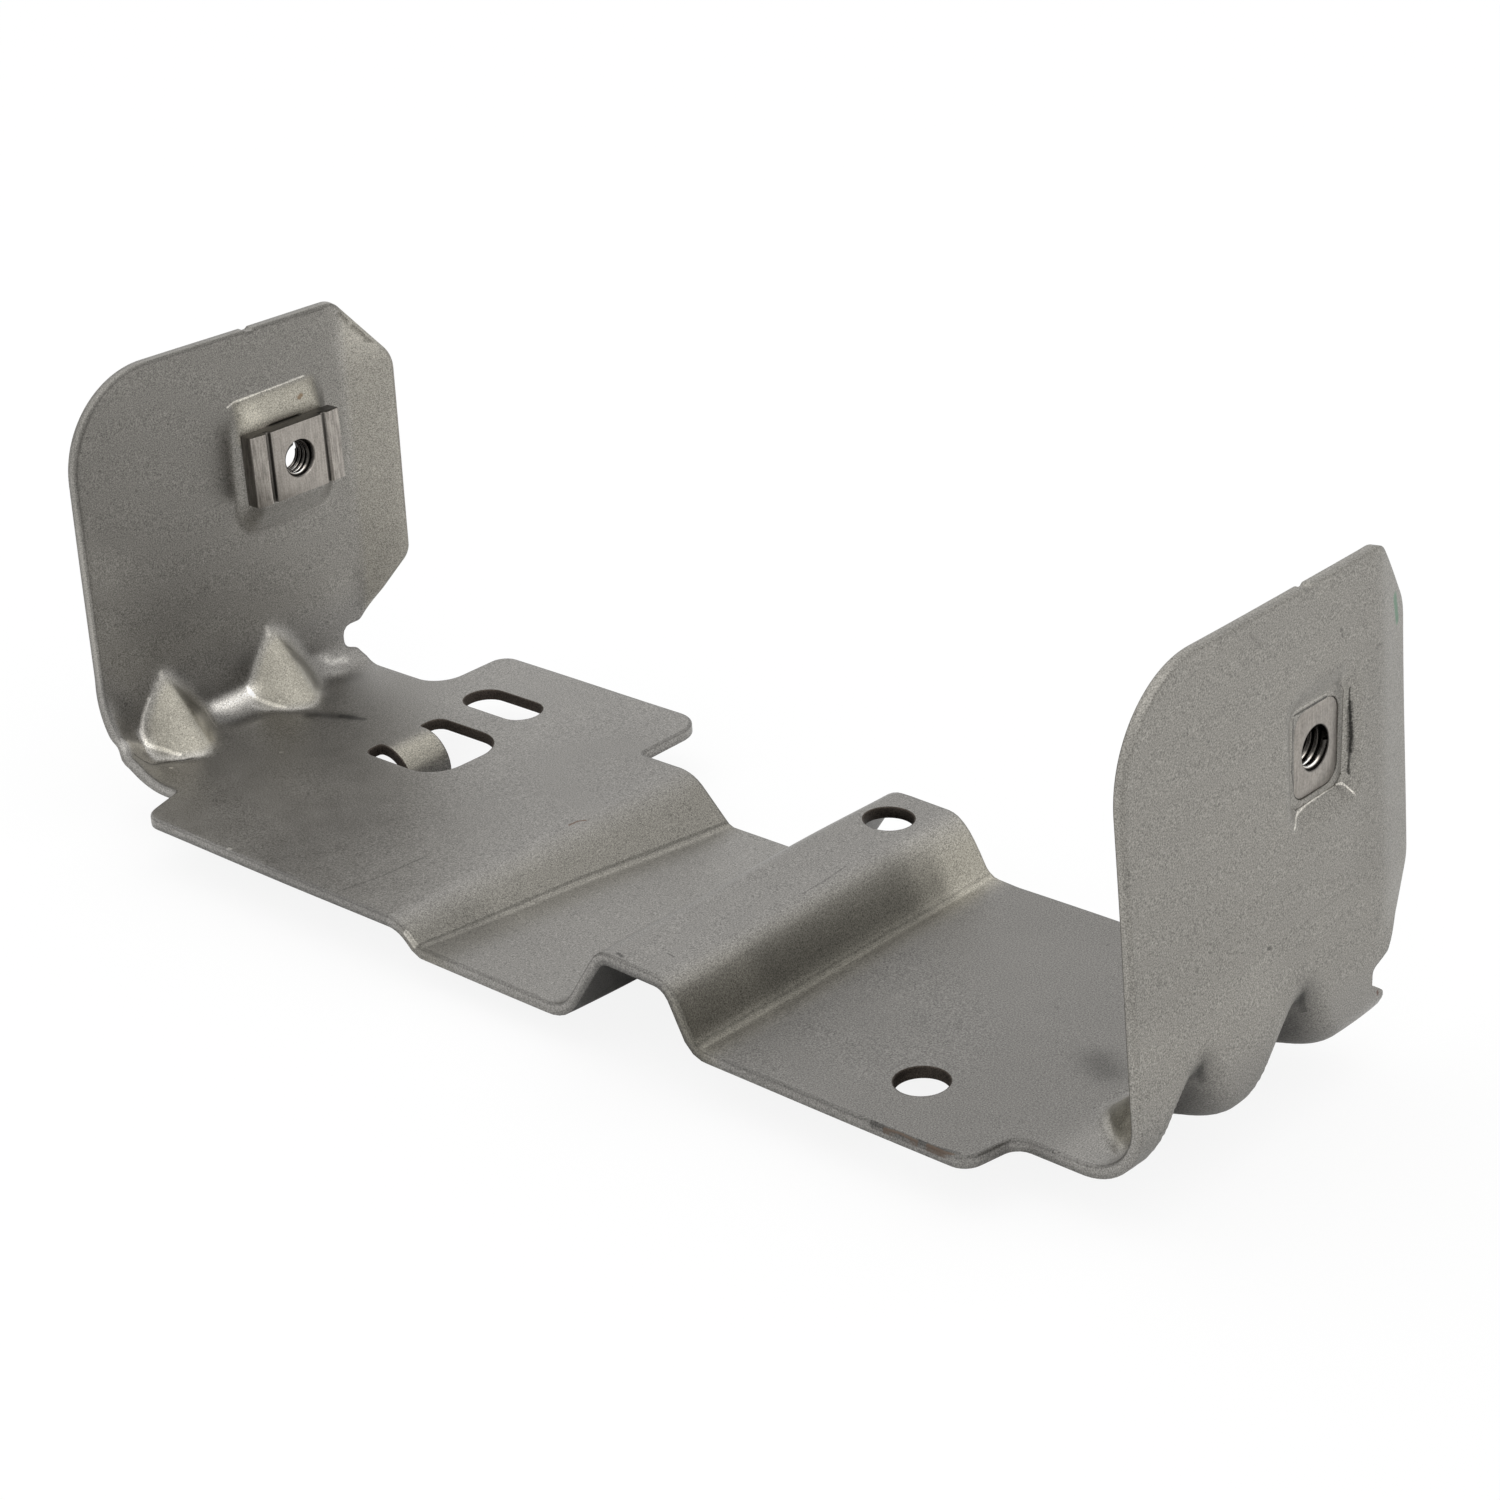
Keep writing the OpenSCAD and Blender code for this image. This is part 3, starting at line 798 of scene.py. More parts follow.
def rounded_box(y, z, size, radius):
    """Signed distance to a rounded rectangle about the nut's axis."""
    qy = np.abs(y - NUT_Y) - size[0] / 2 + radius
    qz = np.abs(z - NUT_Z) - size[1] / 2 + radius
    outside = np.hypot(np.maximum(qy, 0), np.maximum(qz, 0))
    return outside + np.minimum(np.maximum(qy, qz), 0.0) - radius


def soft_ramp(value, width):
    """Runs from 0 to 1 over 0..1, with its two corners rounded."""
    low = 0.5 * (value + np.sqrt(value ** 2 + width ** 2))
    over = value - 1
    high = 0.5 * (over + np.sqrt(over ** 2 + width ** 2))
    return low - high


def seat_amount(side, y, z):
    """0 off the raised seat, 1 on its flat top."""
    foot = rounded_box(y, z, SEAT_FOOT[side], 4.0)
    top = rounded_box(y, z, SEAT_TOP[side], 2.4)
    gap = np.maximum(top - foot, 0.4)
    return np.clip(soft_ramp(-foot / gap, 0.14) - 0.005, 0.0, 1.0)


def dart_places(side):
    return (-10.8, 11.9) if side < 0 else (-11.2, 11.6)


def dart_shift(side, x, y, z, sheet):
    """Moves the bend up to the roofs of the darts. x counts outwards here."""
    level = LEVEL[side]
    offset = 1.8 / math.cos(LEAN[side]) if side > 0 else 0.0
    apex_z = level + sheet.dart_rise / MM + DART_RISE_CHANGE[side]
    reach = sheet.dart_reach / MM + DART_REACH_CHANGE[side]
    apex_x = -HALF_SPAN + math.tan(LEAN[side]) * apex_z + offset
    nose_x = -HALF_SPAN + math.tan(LEAN[side]) * level + offset + reach
    run = np.array([nose_x - apex_x, level - apex_z])
    length = np.linalg.norm(run)
    run = run / length
    up = np.array([-run[1], run[0]])
    base = (x - apex_x) * up[0] + (z - apex_z) * up[1]
    along = ((x - apex_x) * run[0] + (z - apex_z) * run[1]) / length
    share = np.clip(along, 0.0, 1.0)
    crest = DART_CREST[0] + (DART_CREST[1] - DART_CREST[0]) * share
    front = math.tan(math.pi / 2 - sheet.dart_flank)
    height = base
    for place in dart_places(side):
        away = y - place - DART_SKEW[side] * share
        ahead, behind = DART_SLOPES[side]
        slope = front * (ahead + (behind - ahead) * smooth(-0.5, 0.5, away))
        fall = slope * (np.hypot(away, crest) - crest) + DART_DROP
        soft = DART_SOFT[0] + (DART_SOFT[1] - DART_SOFT[0]) * smooth(0.5, 4.5, away)
        gap = np.maximum(soft - np.abs(height + fall), 0.0) / soft
        height = np.maximum(height, -fall) + gap ** 2 * soft / 4
    lift = height - base
    return x + up[0] * lift, z + up[1] * lift, lift


def away_from(points, u, y):
    """Distance on the blank from a line through the given points."""
    nearest = np.full(np.shape(u), 1e9)
    for (u1, y1), (u2, y2) in zip(points, points[1:]):
        du, dy = u2 - u1, y2 - y1
        share = np.clip(((u - u1) * du + (y - y1) * dy) / (du * du + dy * dy), 0.0, 1.0)
        nearest = np.minimum(nearest, np.hypot(u - u1 - du * share, y - y1 - dy * share))
    return nearest


def faces_out(u):
    """Whether a mark lies on the outer face of the right ear."""
    return u > 100


def crease_relief(u, y):
    """Height of the small folds that the press left beside the darts."""
    height = np.zeros_like(u)
    for points, rise, width in CREASES:
        height += rise * np.exp(-(away_from(points, u, y) / width) ** 2)
    return height


def in_area(area, u, y):
    """1 inside an area of the blank, 0 outside it, with a soft border."""
    low_u, high_u, low_y, high_y, soft, factor = area
    inside = smooth(low_u - soft, low_u + soft, u) * smooth(-high_u - soft, -high_u + soft, -u)
    inside = inside * smooth(low_y - soft, low_y + soft, y)
    return inside * smooth(-high_y - soft, -high_y + soft, -y)


def shading_and_smudges_at(u, y, depth):
    """Painted light and shade on the sheet as lighter and darker areas, with a few smudges."""
    upper = np.clip(1.4 - depth, 0.0, 1.0)
    tone = np.ones_like(u)
    for areas, face in ((PAINTED_LIGHT_AND_SHADE, upper), (EDGE_TONES, 1.0), (PAINTED_HOLLOW_SHADE, 1.0 - upper)):
        for area in areas:
            side = 1.0 - upper if areas is PAINTED_LIGHT_AND_SHADE and faces_out(area[0]) else face
            tone *= 1.0 + (area[-1] - 1.0) * in_area(area, u, y) * side
    for points, width, factor in SOFT_SHADING_AND_SMUDGES:
        inside = np.exp(-(away_from(points, u, y) / width) ** 2)
        face = 1.0 - upper if faces_out(points[0][0]) else upper
        tone *= 1.0 + (factor - 1.0) * inside * face
    return tone


def warmth_at(u, y):
    """How far the sheet takes its yellower colour."""
    warmth = np.zeros_like(u)
    for area in WARM:
        warmth = np.maximum(warmth, area[-1] * in_area(area, u, y))
    return warmth


def on_sheet(u, y, sheet):
    """Upper surface of the folded sheet at blank place (u, y), and its burnish."""
    u = np.asarray(u, dtype=float)
    y = np.asarray(y, dtype=float)
    x = u.copy()
    z = floor_height(u, y)
    burnish = np.zeros_like(u)
    for side in (-1, 1):
        start, radius, length, end_x, end_z = ear_line(side, y, sheet)
        run = side * u + start
        angle = np.clip(run / radius, 0.0, length / radius)
        beyond = np.maximum(run - length, 0.0)
        lean = LEAN[side]
        out = np.where(
            run < 0,
            -side * u,
            start - radius * np.sin(angle) + beyond * math.sin(lean),
        )
        up = LEVEL[side] + radius * (1 - np.cos(angle)) + beyond * math.cos(lean)
        up = np.where(run < 0, z, up)
        near = run > -14
        seat_plane = SEAT_X[side] if side < 0 else -SEAT_X[side]
        share = np.where(near & (up > 30), seat_amount(side, y, up), 0.0)
        out = out + (seat_plane - out) * share
        past = y - CREASE_Y
        turn_in = 0.5 * (past + np.sqrt(past ** 2 + 2.2))
        turn_in = np.where(past < -8, 0.0, turn_in) * math.tan(STRIP_TURN)
        out = out + turn_in * smooth(11.0, 17.0, up) * near
        dart_x, dart_z, lift = dart_shift(side, out, y, up, sheet)
        inside = near & (up < 26)
        out = np.where(inside, dart_x, out)
        up = np.where(inside, dart_z, up)
        burnish = np.where(inside, np.maximum(burnish, np.clip(lift / 2, 0, 1)), burnish)
        x = np.where(near, -side * out, x)
        z = np.where(near, up, z)
    x = np.where(u > 120, np.abs(x), x)
    hanging = (u > TONGUE_ROOT) & (u < -57.5) & (y > 8.3) & (y < 18.3)
    run = u - TONGUE_ROOT
    angle = np.clip(run / TONGUE_R, 0.0, math.pi / 2)
    beyond = np.maximum(run - TONGUE_R * math.pi / 2, 0.0)
    x = np.where(hanging, TONGUE_ROOT + TONGUE_R * np.sin(angle), x)
    z = np.where(hanging, LEFT_Z - TONGUE_R * (1 - np.cos(angle)) - beyond, z)
    return np.stack([x, y, z], axis=-1), burnish


def sheet_points(u, y, depth, sheet):
    """Points at a depth below the upper surface, and the burnish there."""
    step = 0.02
    here, burnish = on_sheet(u, y, sheet)
    along_u = on_sheet(u + step, y, sheet)[0] - on_sheet(u - step, y, sheet)[0]
    along_y = on_sheet(u, y + step, sheet)[0] - on_sheet(u, y - step, sheet)[0]
    normal = np.cross(along_u, along_y)
    normal = normal / np.linalg.norm(normal, axis=-1, keepdims=True)
    wave = (
        np.sin(here[..., 0] * 0.11 + here[..., 1] * 0.07)
        + np.sin(here[..., 1] * 0.16 - here[..., 2] * 0.13 + 1.3)
        + np.sin(here[..., 0] * 0.05 - here[..., 1] * 0.12 + 2.1)
    )
    offset = wave * sheet.unevenness / MM + crease_relief(u, y) - np.asarray(depth)
    return here + normal * offset[..., None], burnish


def arc_corner(before, corner, after, radius, steps):
    """Points of one rounded corner of an outline."""
    before, corner, after = (np.array(p[:2], dtype=float) for p in (before, corner, after))
    if radius <= 0:
        return [corner]
    d1 = (corner - before) / np.linalg.norm(corner - before)
    d2 = (after - corner) / np.linalg.norm(after - corner)
    turn = math.atan2(d1[0] * d2[1] - d1[1] * d2[0], float(d1 @ d2))
    side = 1.0 if turn > 0 else -1.0
    start = corner - d1 * radius * math.tan(abs(turn) / 2)
    centre = start + side * radius * np.array([-d1[1], d1[0]])
    points = []
    for k in range(steps + 1):
        angle = turn * k / steps
        arm = start - centre
        cos, sin = math.cos(angle), math.sin(angle)
        points.append(centre + np.array([arm[0] * cos - arm[1] * sin, arm[0] * sin + arm[1] * cos]))
    return points


def rounded_path(corners, closed):
    """An outline whose corners [a, b, radius] are rounded."""
    points = []
    count = len(corners)
    for i, corner in enumerate(corners):
        if not closed and i in (0, count - 1):
            points.append(np.array(corner[:2], dtype=float))
            continue
        before = corners[(i - 1) % count]
        after = corners[(i + 1) % count]
        steps = max(3, int(corner[2] * 2.2))
        points.extend(arc_corner(before, corner, after, corner[2], steps))
    return points


def even_path(points, step):
    """The same closed outline with points no further apart than step."""
    points = [np.asarray(p, dtype=float) for p in points]
    result = []
    for a, b in zip(points, points[1:] + points[:1]):
        length = np.linalg.norm(b - a)
        if length < 0.02:
            continue
        count = max(1, int(math.ceil(length / step)))
        for k in range(count):
            result.append(a + (b - a) * k / count)
    return np.array(result)


def ear_path(side, sheet):
    """Outline of one ear from its front bend to its rear notch, on the blank."""
    front_top, front_z, rear_z, rear_low, rear_top, nick_y = EAR_EDGE[side]
    nick_z = front_z + (rear_z - front_z) * (nick_y + 20) / 52
    corners = [
        (EAR_FRONT[side], 9.0, 0),
        (front_top, front_z, 16),
        (nick_y - 0.9, nick_z, 0),
        (nick_y - 0.35, nick_z - 0.36, 0.3),
        (nick_y + 0.35, nick_z - 0.36, 0.3),
        (nick_y + 0.9, nick_z, 0),
        (32.2, rear_z, 3),
        (rear_top, rear_z - 11.3, 6),
        (rear_low, 22.2, 4),
        *NOTCH[side],
        (HALF_DEPTH, 5.7, 0),
    ]
    path = even_path(rounded_path(corners, False), 0.9)
    keep = path[: len(path) - int(math.ceil(abs(EAR_FRONT[side] - HALF_DEPTH) / 0.9))]
    u = blank_of_height(side, keep[:, 0], keep[:, 1], sheet)
    return np.stack([u, keep[:, 0]], axis=-1)


def blank_outlines(sheet):
    """Outer outline and openings of the blank, with the metal on their left."""
    front = rounded_path([
        (-90, EAR_FRONT[-1], 0),
        (-85.6, EAR_FRONT[-1], 0.8),
        (-82.6, -HALF_DEPTH, 4),
        (80.8, -HALF_DEPTH, 3),
        (82.4, EAR_FRONT[1], 2.5),
        (92, EAR_FRONT[1], 0),
    ], False)
    rear = rounded_path([
        (92, HALF_DEPTH, 0),
        (41, HALF_DEPTH, 8),
        (35, HALF_DEPTH + 0.6, 5),
        (31, HALF_DEPTH + 0.35, 6),
        (21, HALF_DEPTH + 0.35, 4),
        (16, HALF_DEPTH, 8),
        (-34.9, HALF_DEPTH, 1),
        (-34.9, 46.5, 5.5),
        (-82.2, 46.5, 3),
        (-82.2, HALF_DEPTH, 5.0),
        (-92, HALF_DEPTH, 0),
    ], False)
    right = list(ear_path(1, sheet))
    left = list(ear_path(-1, sheet))[::-1]
    outer = even_path(front + right + rear + left, 0.9)
    loops = [outer]
    for x, y, radius in HOLES:
        angles = -np.linspace(0, 2 * math.pi, 45)[:-1]
        ring = np.stack([x + radius * np.cos(angles), y + radius * np.sin(angles)], -1)
        loops.append(ring)
    x, y, length, width = SLOT
    half = length / 2
    slot = rounded_path([
        (x - half, y - width / 2, width / 2 - 0.01),
        (x - half, y + width / 2, width / 2 - 0.01),
        (x + half, y + width / 2, width / 2 - 0.01),
        (x + half, y - width / 2, width / 2 - 0.01),
    ], True)
    loops.append(even_path(slot, 0.7))
    window = rounded_path([
        (-72.2, 5.3, 1.8),
        (-72.2, TONGUE_Y[0], 0.5),
        (TONGUE_END, TONGUE_Y[0], 0.9),
        (TONGUE_END, TONGUE_Y[1], 0.9),
        (-72.2, TONGUE_Y[1], 0.5),
        (-72.2, 21.7, 1.9),
        (-55.4, 21.7, 6.2),
        (-55.4, 5.3, 5.6),
    ], True)
    loops.append(even_path(window, 0.6))
    for side in (-1, 1):
        wide, high = 9.9 / 2 + 0.05, 6.05
        pilot = rounded_path([
            (NUT_Y - wide, NUT_Z - high, 2.4),
            (NUT_Y - wide, NUT_Z + high, 2.4),
            (NUT_Y + wide, NUT_Z + high, 2.4),
            (NUT_Y + wide, NUT_Z - high, 2.4),
        ], True)
        path = even_path(pilot, 0.7)
        u = blank_of_height(side, path[:, 0], path[:, 1], sheet)
        ring = np.stack([u, path[:, 0]], -1)
        loops.append(ring if loop_area(ring) < 0 else ring[::-1])
    return loops


def loop_area(loop):
    x, y = loop[:, 0], loop[:, 1]
    return 0.5 * float(np.sum(x * np.roll(y, -1) - y * np.roll(x, -1)))


def inward(loop):
    """Unit directions from an outline into the metal on its left."""
    before = loop - np.roll(loop, 1, axis=0)
    after = np.roll(loop, -1, axis=0) - loop
    before = before / np.linalg.norm(before, axis=1, keepdims=True)
    after = after / np.linalg.norm(after, axis=1, keepdims=True)
    middle = before + after
    middle = middle / np.linalg.norm(middle, axis=1, keepdims=True)
    across = np.stack([-middle[:, 1], middle[:, 0]], axis=-1)
    stretch = 1 / np.clip(np.sum(middle * after, axis=1), 0.5, 1.0)
    return across * stretch[:, None]


def inside_loops(points, loops):
    """Whether each point lies on the metal."""
    inside = np.zeros(len(points), dtype=bool)
    for loop in loops:
        x1, y1 = loop[:, 0], loop[:, 1]
        x2, y2 = np.roll(x1, -1), np.roll(y1, -1)
        for a, b, c, d in zip(x1, y1, x2, y2):
            if b == d:
                continue
            hit = (points[:, 1] > min(b, d)) & (points[:, 1] <= max(b, d))
            cross = a + (points[:, 1] - b) * (c - a) / (d - b)
            inside ^= hit & (points[:, 0] < cross)
    return inside


def clear_of(points, loops, gap):
    """Keeps the points that lie at least gap from every outline."""
    rim = np.concatenate(loops)
    keep = np.ones(len(points), dtype=bool)
    for start in range(0, len(points), 2000):
        part = points[start:start + 2000]
        away = (part[:, None, 0] - rim[None, :, 0]) ** 2 + (part[:, None, 1] - rim[None, :, 1]) ** 2
        keep[start:start + 2000] = away.min(axis=1) > gap ** 2
    return points[keep]


def steps_between(stops):
    """Places from stops [(place, step after it), ..., (last place, 0)]."""
    places = []
    for (a, step), (b, _) in zip(stops, stops[1:]):
        count = max(1, int(round((b - a) / step)))
        places.extend(a + (b - a) * k / count for k in range(count))
    places.append(stops[-1][0])
    return places


def blank_grid(sheet):
    """Places on the blank at which the surface is sampled."""
    flat = sheet.mesh_step / MM
    columns = steps_between([
        (-166, flat), (-153, 0.8), (-127, flat), (-113, 0.6), (-84, flat),
        (-30, 0.7), (-19, 0.5), (-14, flat), (4, 0.6), (38, flat),
        (82, 0.6), (111, flat), (125, 0.8), (151, flat), (166, 0),
    ])
    rows = steps_between([
        (-32, flat), (-20, 0.6), (-2, 0.75), (4, 0.6), (22, flat), (30, 0.8), (34, flat), (47, 0),
    ])
    grid = np.array([(u, y) for u in columns for y in rows])
    for low_u, high_u, low_y, high_y, step in FINE_AREAS:
        inside = (grid[:, 0] > low_u) & (grid[:, 0] < high_u)
        inside &= (grid[:, 1] > low_y) & (grid[:, 1] < high_y)
        fine = [(u, y) for u in np.arange(low_u + step, high_u - step / 2, step)
                for y in np.arange(low_y + step, high_y - step / 2, step)]
        grid = np.concatenate([grid[~inside], np.array(fine)])
    return grid


def triangulated(points, loops):
    """Triangles of the metal between the outlines, whose points come first."""
    edges = []
    start = 0
    for loop in loops:
        count = len(loop)
        edges.extend((start + i, start + (i + 1) % count) for i in range(count))
        start += count
    flat = [tuple(map(float, p)) for p in points]
    result = delaunay_2d_cdt(flat, edges, [], 0, 1e-5, True)
    verts, faces, origins = result[0], result[2], result[3]
    if len(verts) != len(points):
        raise RuntimeError("the blank's outline crosses itself: %d, %d" % (len(verts), len(points)))
    own = [o[0] for o in origins]
    tris = np.array([[own[i] for i in face] for face in faces])
    centre = points[tris].mean(axis=1)
    return tris[inside_loops(centre, loops)]


def sheet_mesh(sheet):
    """The folded sheet as a closed mesh, with its attributes."""
    t = sheet.thickness / MM
    loops = blank_outlines(sheet)
    rings = (
        (0.62, 0.0), (0.40, 0.03), (0.20, 0.11), (0.06, 0.24), (0.0, 0.42),
        (0.0, t - 0.10), (0.10, t), (0.62, t),
    )
    directions = [inward(loop) for loop in loops]
    scales = [1.0] + [HOLE_ROLLOVER] * (len(loops) - 1)
    inner = [loop + across * rings[0][0] * scale
             for loop, across, scale in zip(loops, directions, scales)]
    grid = blank_grid(sheet)
    grid = grid[inside_loops(grid, inner)]
    grid = clear_of(grid, inner, 0.42)
    flat = np.concatenate(inner + [grid])
    tris = triangulated(flat, inner)
    count = len(flat)
    groups = [(flat, 0.0, 0.0), (flat, t, 0.0)]
    faces = [tuple(f) for f in tris] + [(c + count, b + count, a + count) for a, b, c in tris]
    total = 2 * count
    offset = 0
    kinds = [1.0] + [2.0] * (len(loops) - 3) + [1.0, 1.0]
    for loop, across, scale, kind in zip(loops, directions, scales, kinds):
        size = len(loop)
        top = list(range(offset, offset + size))
        bottom = [i + count for i in top]
        rows = [top]
        for reach, depth in rings[1:-1]:
            if depth < t / 2:
                depth *= scale
            groups.append((loop + across * reach * scale, depth, kind))
            rows.append(list(range(total, total + size)))
            total += size
        rows.append(bottom)
        for upper, lower in zip(rows, rows[1:]):
            for i in range(size):
                j = (i + 1) % size
                faces.append((upper[j], upper[i], lower[i], lower[j]))
        offset += size
    blank = np.concatenate([g[0] for g in groups])
    depth = np.concatenate([np.full(len(g[0]), g[1]) for g in groups])
    cut = np.concatenate([np.full(len(g[0]), g[2]) for g in groups])
    points, burnish = sheet_points(blank[:, 0], blank[:, 1], depth, sheet)
    verts = placed(points)
    low, high = np.array(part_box("bracket")[0]), np.array(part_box("bracket")[1])
    verts = np.clip(verts, low + 1e-7, high - 1e-7)
    mesh = bpy.data.meshes.new("sheet")
    mesh.from_pydata([tuple(v) for v in verts], [], [tuple(int(i) for i in f) for f in faces])
    mesh.update()
    add_number(mesh, "burnish", burnish)
    add_number(mesh, "cut", cut)
    add_number(mesh, "wall", depth / t)
    # Painted light and shade, with a few smudges, as a factor on the colour
    add_number(mesh, "tone", shading_and_smudges_at(blank[:, 0], blank[:, 1], depth))
    add_number(mesh, "warmth", warmth_at(blank[:, 0], blank[:, 1]))
    blank_place = mesh.attributes.new("blank", "FLOAT_VECTOR", "POINT")
    where = np.concatenate([blank * MM, (depth * MM)[:, None]], axis=1)
    blank_place.data.foreach_set("vector", where.astype(np.float32).ravel())
    mesh.shade_smooth()
    return mesh


def add_number(mesh, name, values):
    attribute = mesh.attributes.new(name, "FLOAT", "POINT")
    attribute.data.foreach_set("value", np.asarray(values, dtype=np.float32))


# Nuts


def add_object(name, mesh, material):
    thing = bpy.data.objects.new(name, mesh)
    bpy.context.scene.collection.objects.link(thing)
    mesh.materials.clear()
    mesh.materials.append(material)
    return thing


def finished(thing):
    """The object's mesh with its modifiers applied and removed."""
    graph = bpy.context.evaluated_depsgraph_get()
    result = bpy.data.meshes.new_from_object(thing.evaluated_get(graph))
    thing.modifiers.clear()
    old = thing.data
    thing.data = result
    bpy.data.meshes.remove(old)
    return thing


def prism(outline, low, high, name):
    """A closed prism: outline in (depth, y), from height low to high."""
    mesh = bpy.data.meshes.new(name)
    count = len(outline)
    verts = [(a, b, low) for a, b in outline] + [(a, b, high) for a, b in outline]
    faces = [tuple(range(count))[::-1], tuple(range(count, 2 * count))]
    for i in range(count):
        j = (i + 1) % count
        faces.append((i, j, j + count, i + count))
    mesh.from_pydata([tuple(float(c) for c in v) for v in verts], [], faces)
    bm = bmesh.new()
    bm.from_mesh(mesh)
    bmesh.ops.recalc_face_normals(bm, faces=bm.faces)
    bm.to_mesh(mesh)
    bm.free()
    return mesh


def turned(profile, steps, name):
    """A closed solid of revolution about the depth axis, from (depth, radius)."""
    verts = []
    faces = []
    for a, r in profile:
        for k in range(steps):
            angle = 2 * math.pi * k / steps
            verts.append((a, r * math.cos(angle), r * math.sin(angle)))
    rows = len(profile)
    for i in range(rows - 1):
        for k in range(steps):
            m = (k + 1) % steps
            faces.append((i * steps + k, i * steps + m, (i + 1) * steps + m, (i + 1) * steps + k))
    faces.append(tuple(range(steps))[::-1])
    faces.append(tuple((rows - 1) * steps + k for k in range(steps)))
    mesh = bpy.data.meshes.new(name)
    mesh.from_pydata(verts, [], faces)
    bm = bmesh.new()
    bm.from_mesh(mesh)
    bmesh.ops.recalc_face_normals(bm, faces=bm.faces)
    bm.to_mesh(mesh)
    bm.free()
    return mesh


def cut_with(thing, mesh, operation):
    """Joins a mesh to the object or cuts it away."""
    tool = bpy.data.objects.new("tool", mesh)
    bpy.context.scene.collection.objects.link(tool)
    modifier = thing.modifiers.new("cut", "BOOLEAN")
    modifier.operation = operation
    modifier.solver = "EXACT"
    modifier.object = tool
    finished(thing)
    bpy.data.objects.remove(tool)
    bpy.data.meshes.remove(mesh)


def nut_solid(side, nuts, material):
    """The body of a pierce nut with its pilot and its drilled hole."""
    depth = nuts.body_depth / MM
    major = nuts.thread_size / MM / 2
    wing = 9.4
    groove = 5.85
    half = [
        (0.0, wing),
        (2.5, wing),
        (2.72, wing - 0.2),
        (depth, wing - 2.4),
        (depth, groove + 0.62),
        (depth - 0.6, groove + 0.28),
        (depth - 0.6, groove - 0.22),
        (depth, groove - 0.45),
    ]
    outline = half + [(a, -b) for a, b in reversed(half)]
    thing = add_object(("left" if side < 0 else "right") + "_nut_dressed",
                       prism(outline, -6.0, 6.0, "nut"), material)
    bevel = thing.modifiers.new("edges", "BEVEL")
    bevel.width = 0.16
    bevel.segments = 2
    bevel.limit_method = "ANGLE"
    bevel.angle_limit = math.radians(35)
    finished(thing)
    pilot = rounded_path([
        (-4.95, -6, 2.4), (4.95, -6, 2.4), (4.95, 6, 2.4), (-4.95, 6, 2.4),
    ], True)
    pilot_mesh = bpy.data.meshes.new("pilot")
    count = len(pilot)
    layers = ((-1.8, 0.10), (-1.76, 0.03), (-1.66, 0.0), (0.6, 0.0))
    verts = []
    for a, shrink in layers:
        for y, z in pilot:
            verts.append((a, y * (1 - shrink / 4.95), z * (1 - shrink / 6)))
    faces = [tuple(range(count)), tuple((len(layers) - 1) * count + k for k in range(count))]
    for i in range(len(layers) - 1):
        for k in range(count):
            m = (k + 1) % count
            faces.append((i * count + k, i * count + m, (i + 1) * count + m, (i + 1) * count + k))
    pilot_mesh.from_pydata([tuple(float(c) for c in v) for v in verts], [], faces)
    bm = bmesh.new()
    bm.from_mesh(pilot_mesh)
    bmesh.ops.recalc_face_normals(bm, faces=bm.faces)
    bm.to_mesh(pilot_mesh)
    bm.free()
    cut_with(thing, pilot_mesh, "UNION")
    bore = turned([
        (-2.4, major + 0.62), (-1.72, major + 0.02), (depth - 0.3, major + 0.02),
        (depth + 0.5, major + 0.62),
    ], 64, "bore")
    cut_with(thing, bore, "DIFFERENCE")
    verts = np.empty(len(thing.data.vertices) * 3, dtype=np.float64)
    flat = np.empty(len(thing.data.vertices) * 3, dtype=np.float32)
    thing.data.vertices.foreach_get("co", flat)
    verts = flat.reshape(-1, 3).astype(float)
    seat_nut(thing.data, verts, side)
    thing.data.shade_smooth()
    thing.data.set_sharp_from_angle(angle=math.radians(32))
    return thing


def seat_nut(mesh, verts, side):
    """Moves a mesh drawn about the nut's own axis to its seat."""
    placed_verts = verts.copy()
    placed_verts[:, 0] = SEAT_X[side] - side * verts[:, 0]
    placed_verts[:, 1] += NUT_Y
    placed_verts[:, 2] += NUT_Z
    placed_verts = placed(placed_verts)
    mesh.vertices.foreach_set("co", placed_verts.astype(np.float32).ravel())
    if side > 0:
        mesh.flip_normals()
    mesh.update()


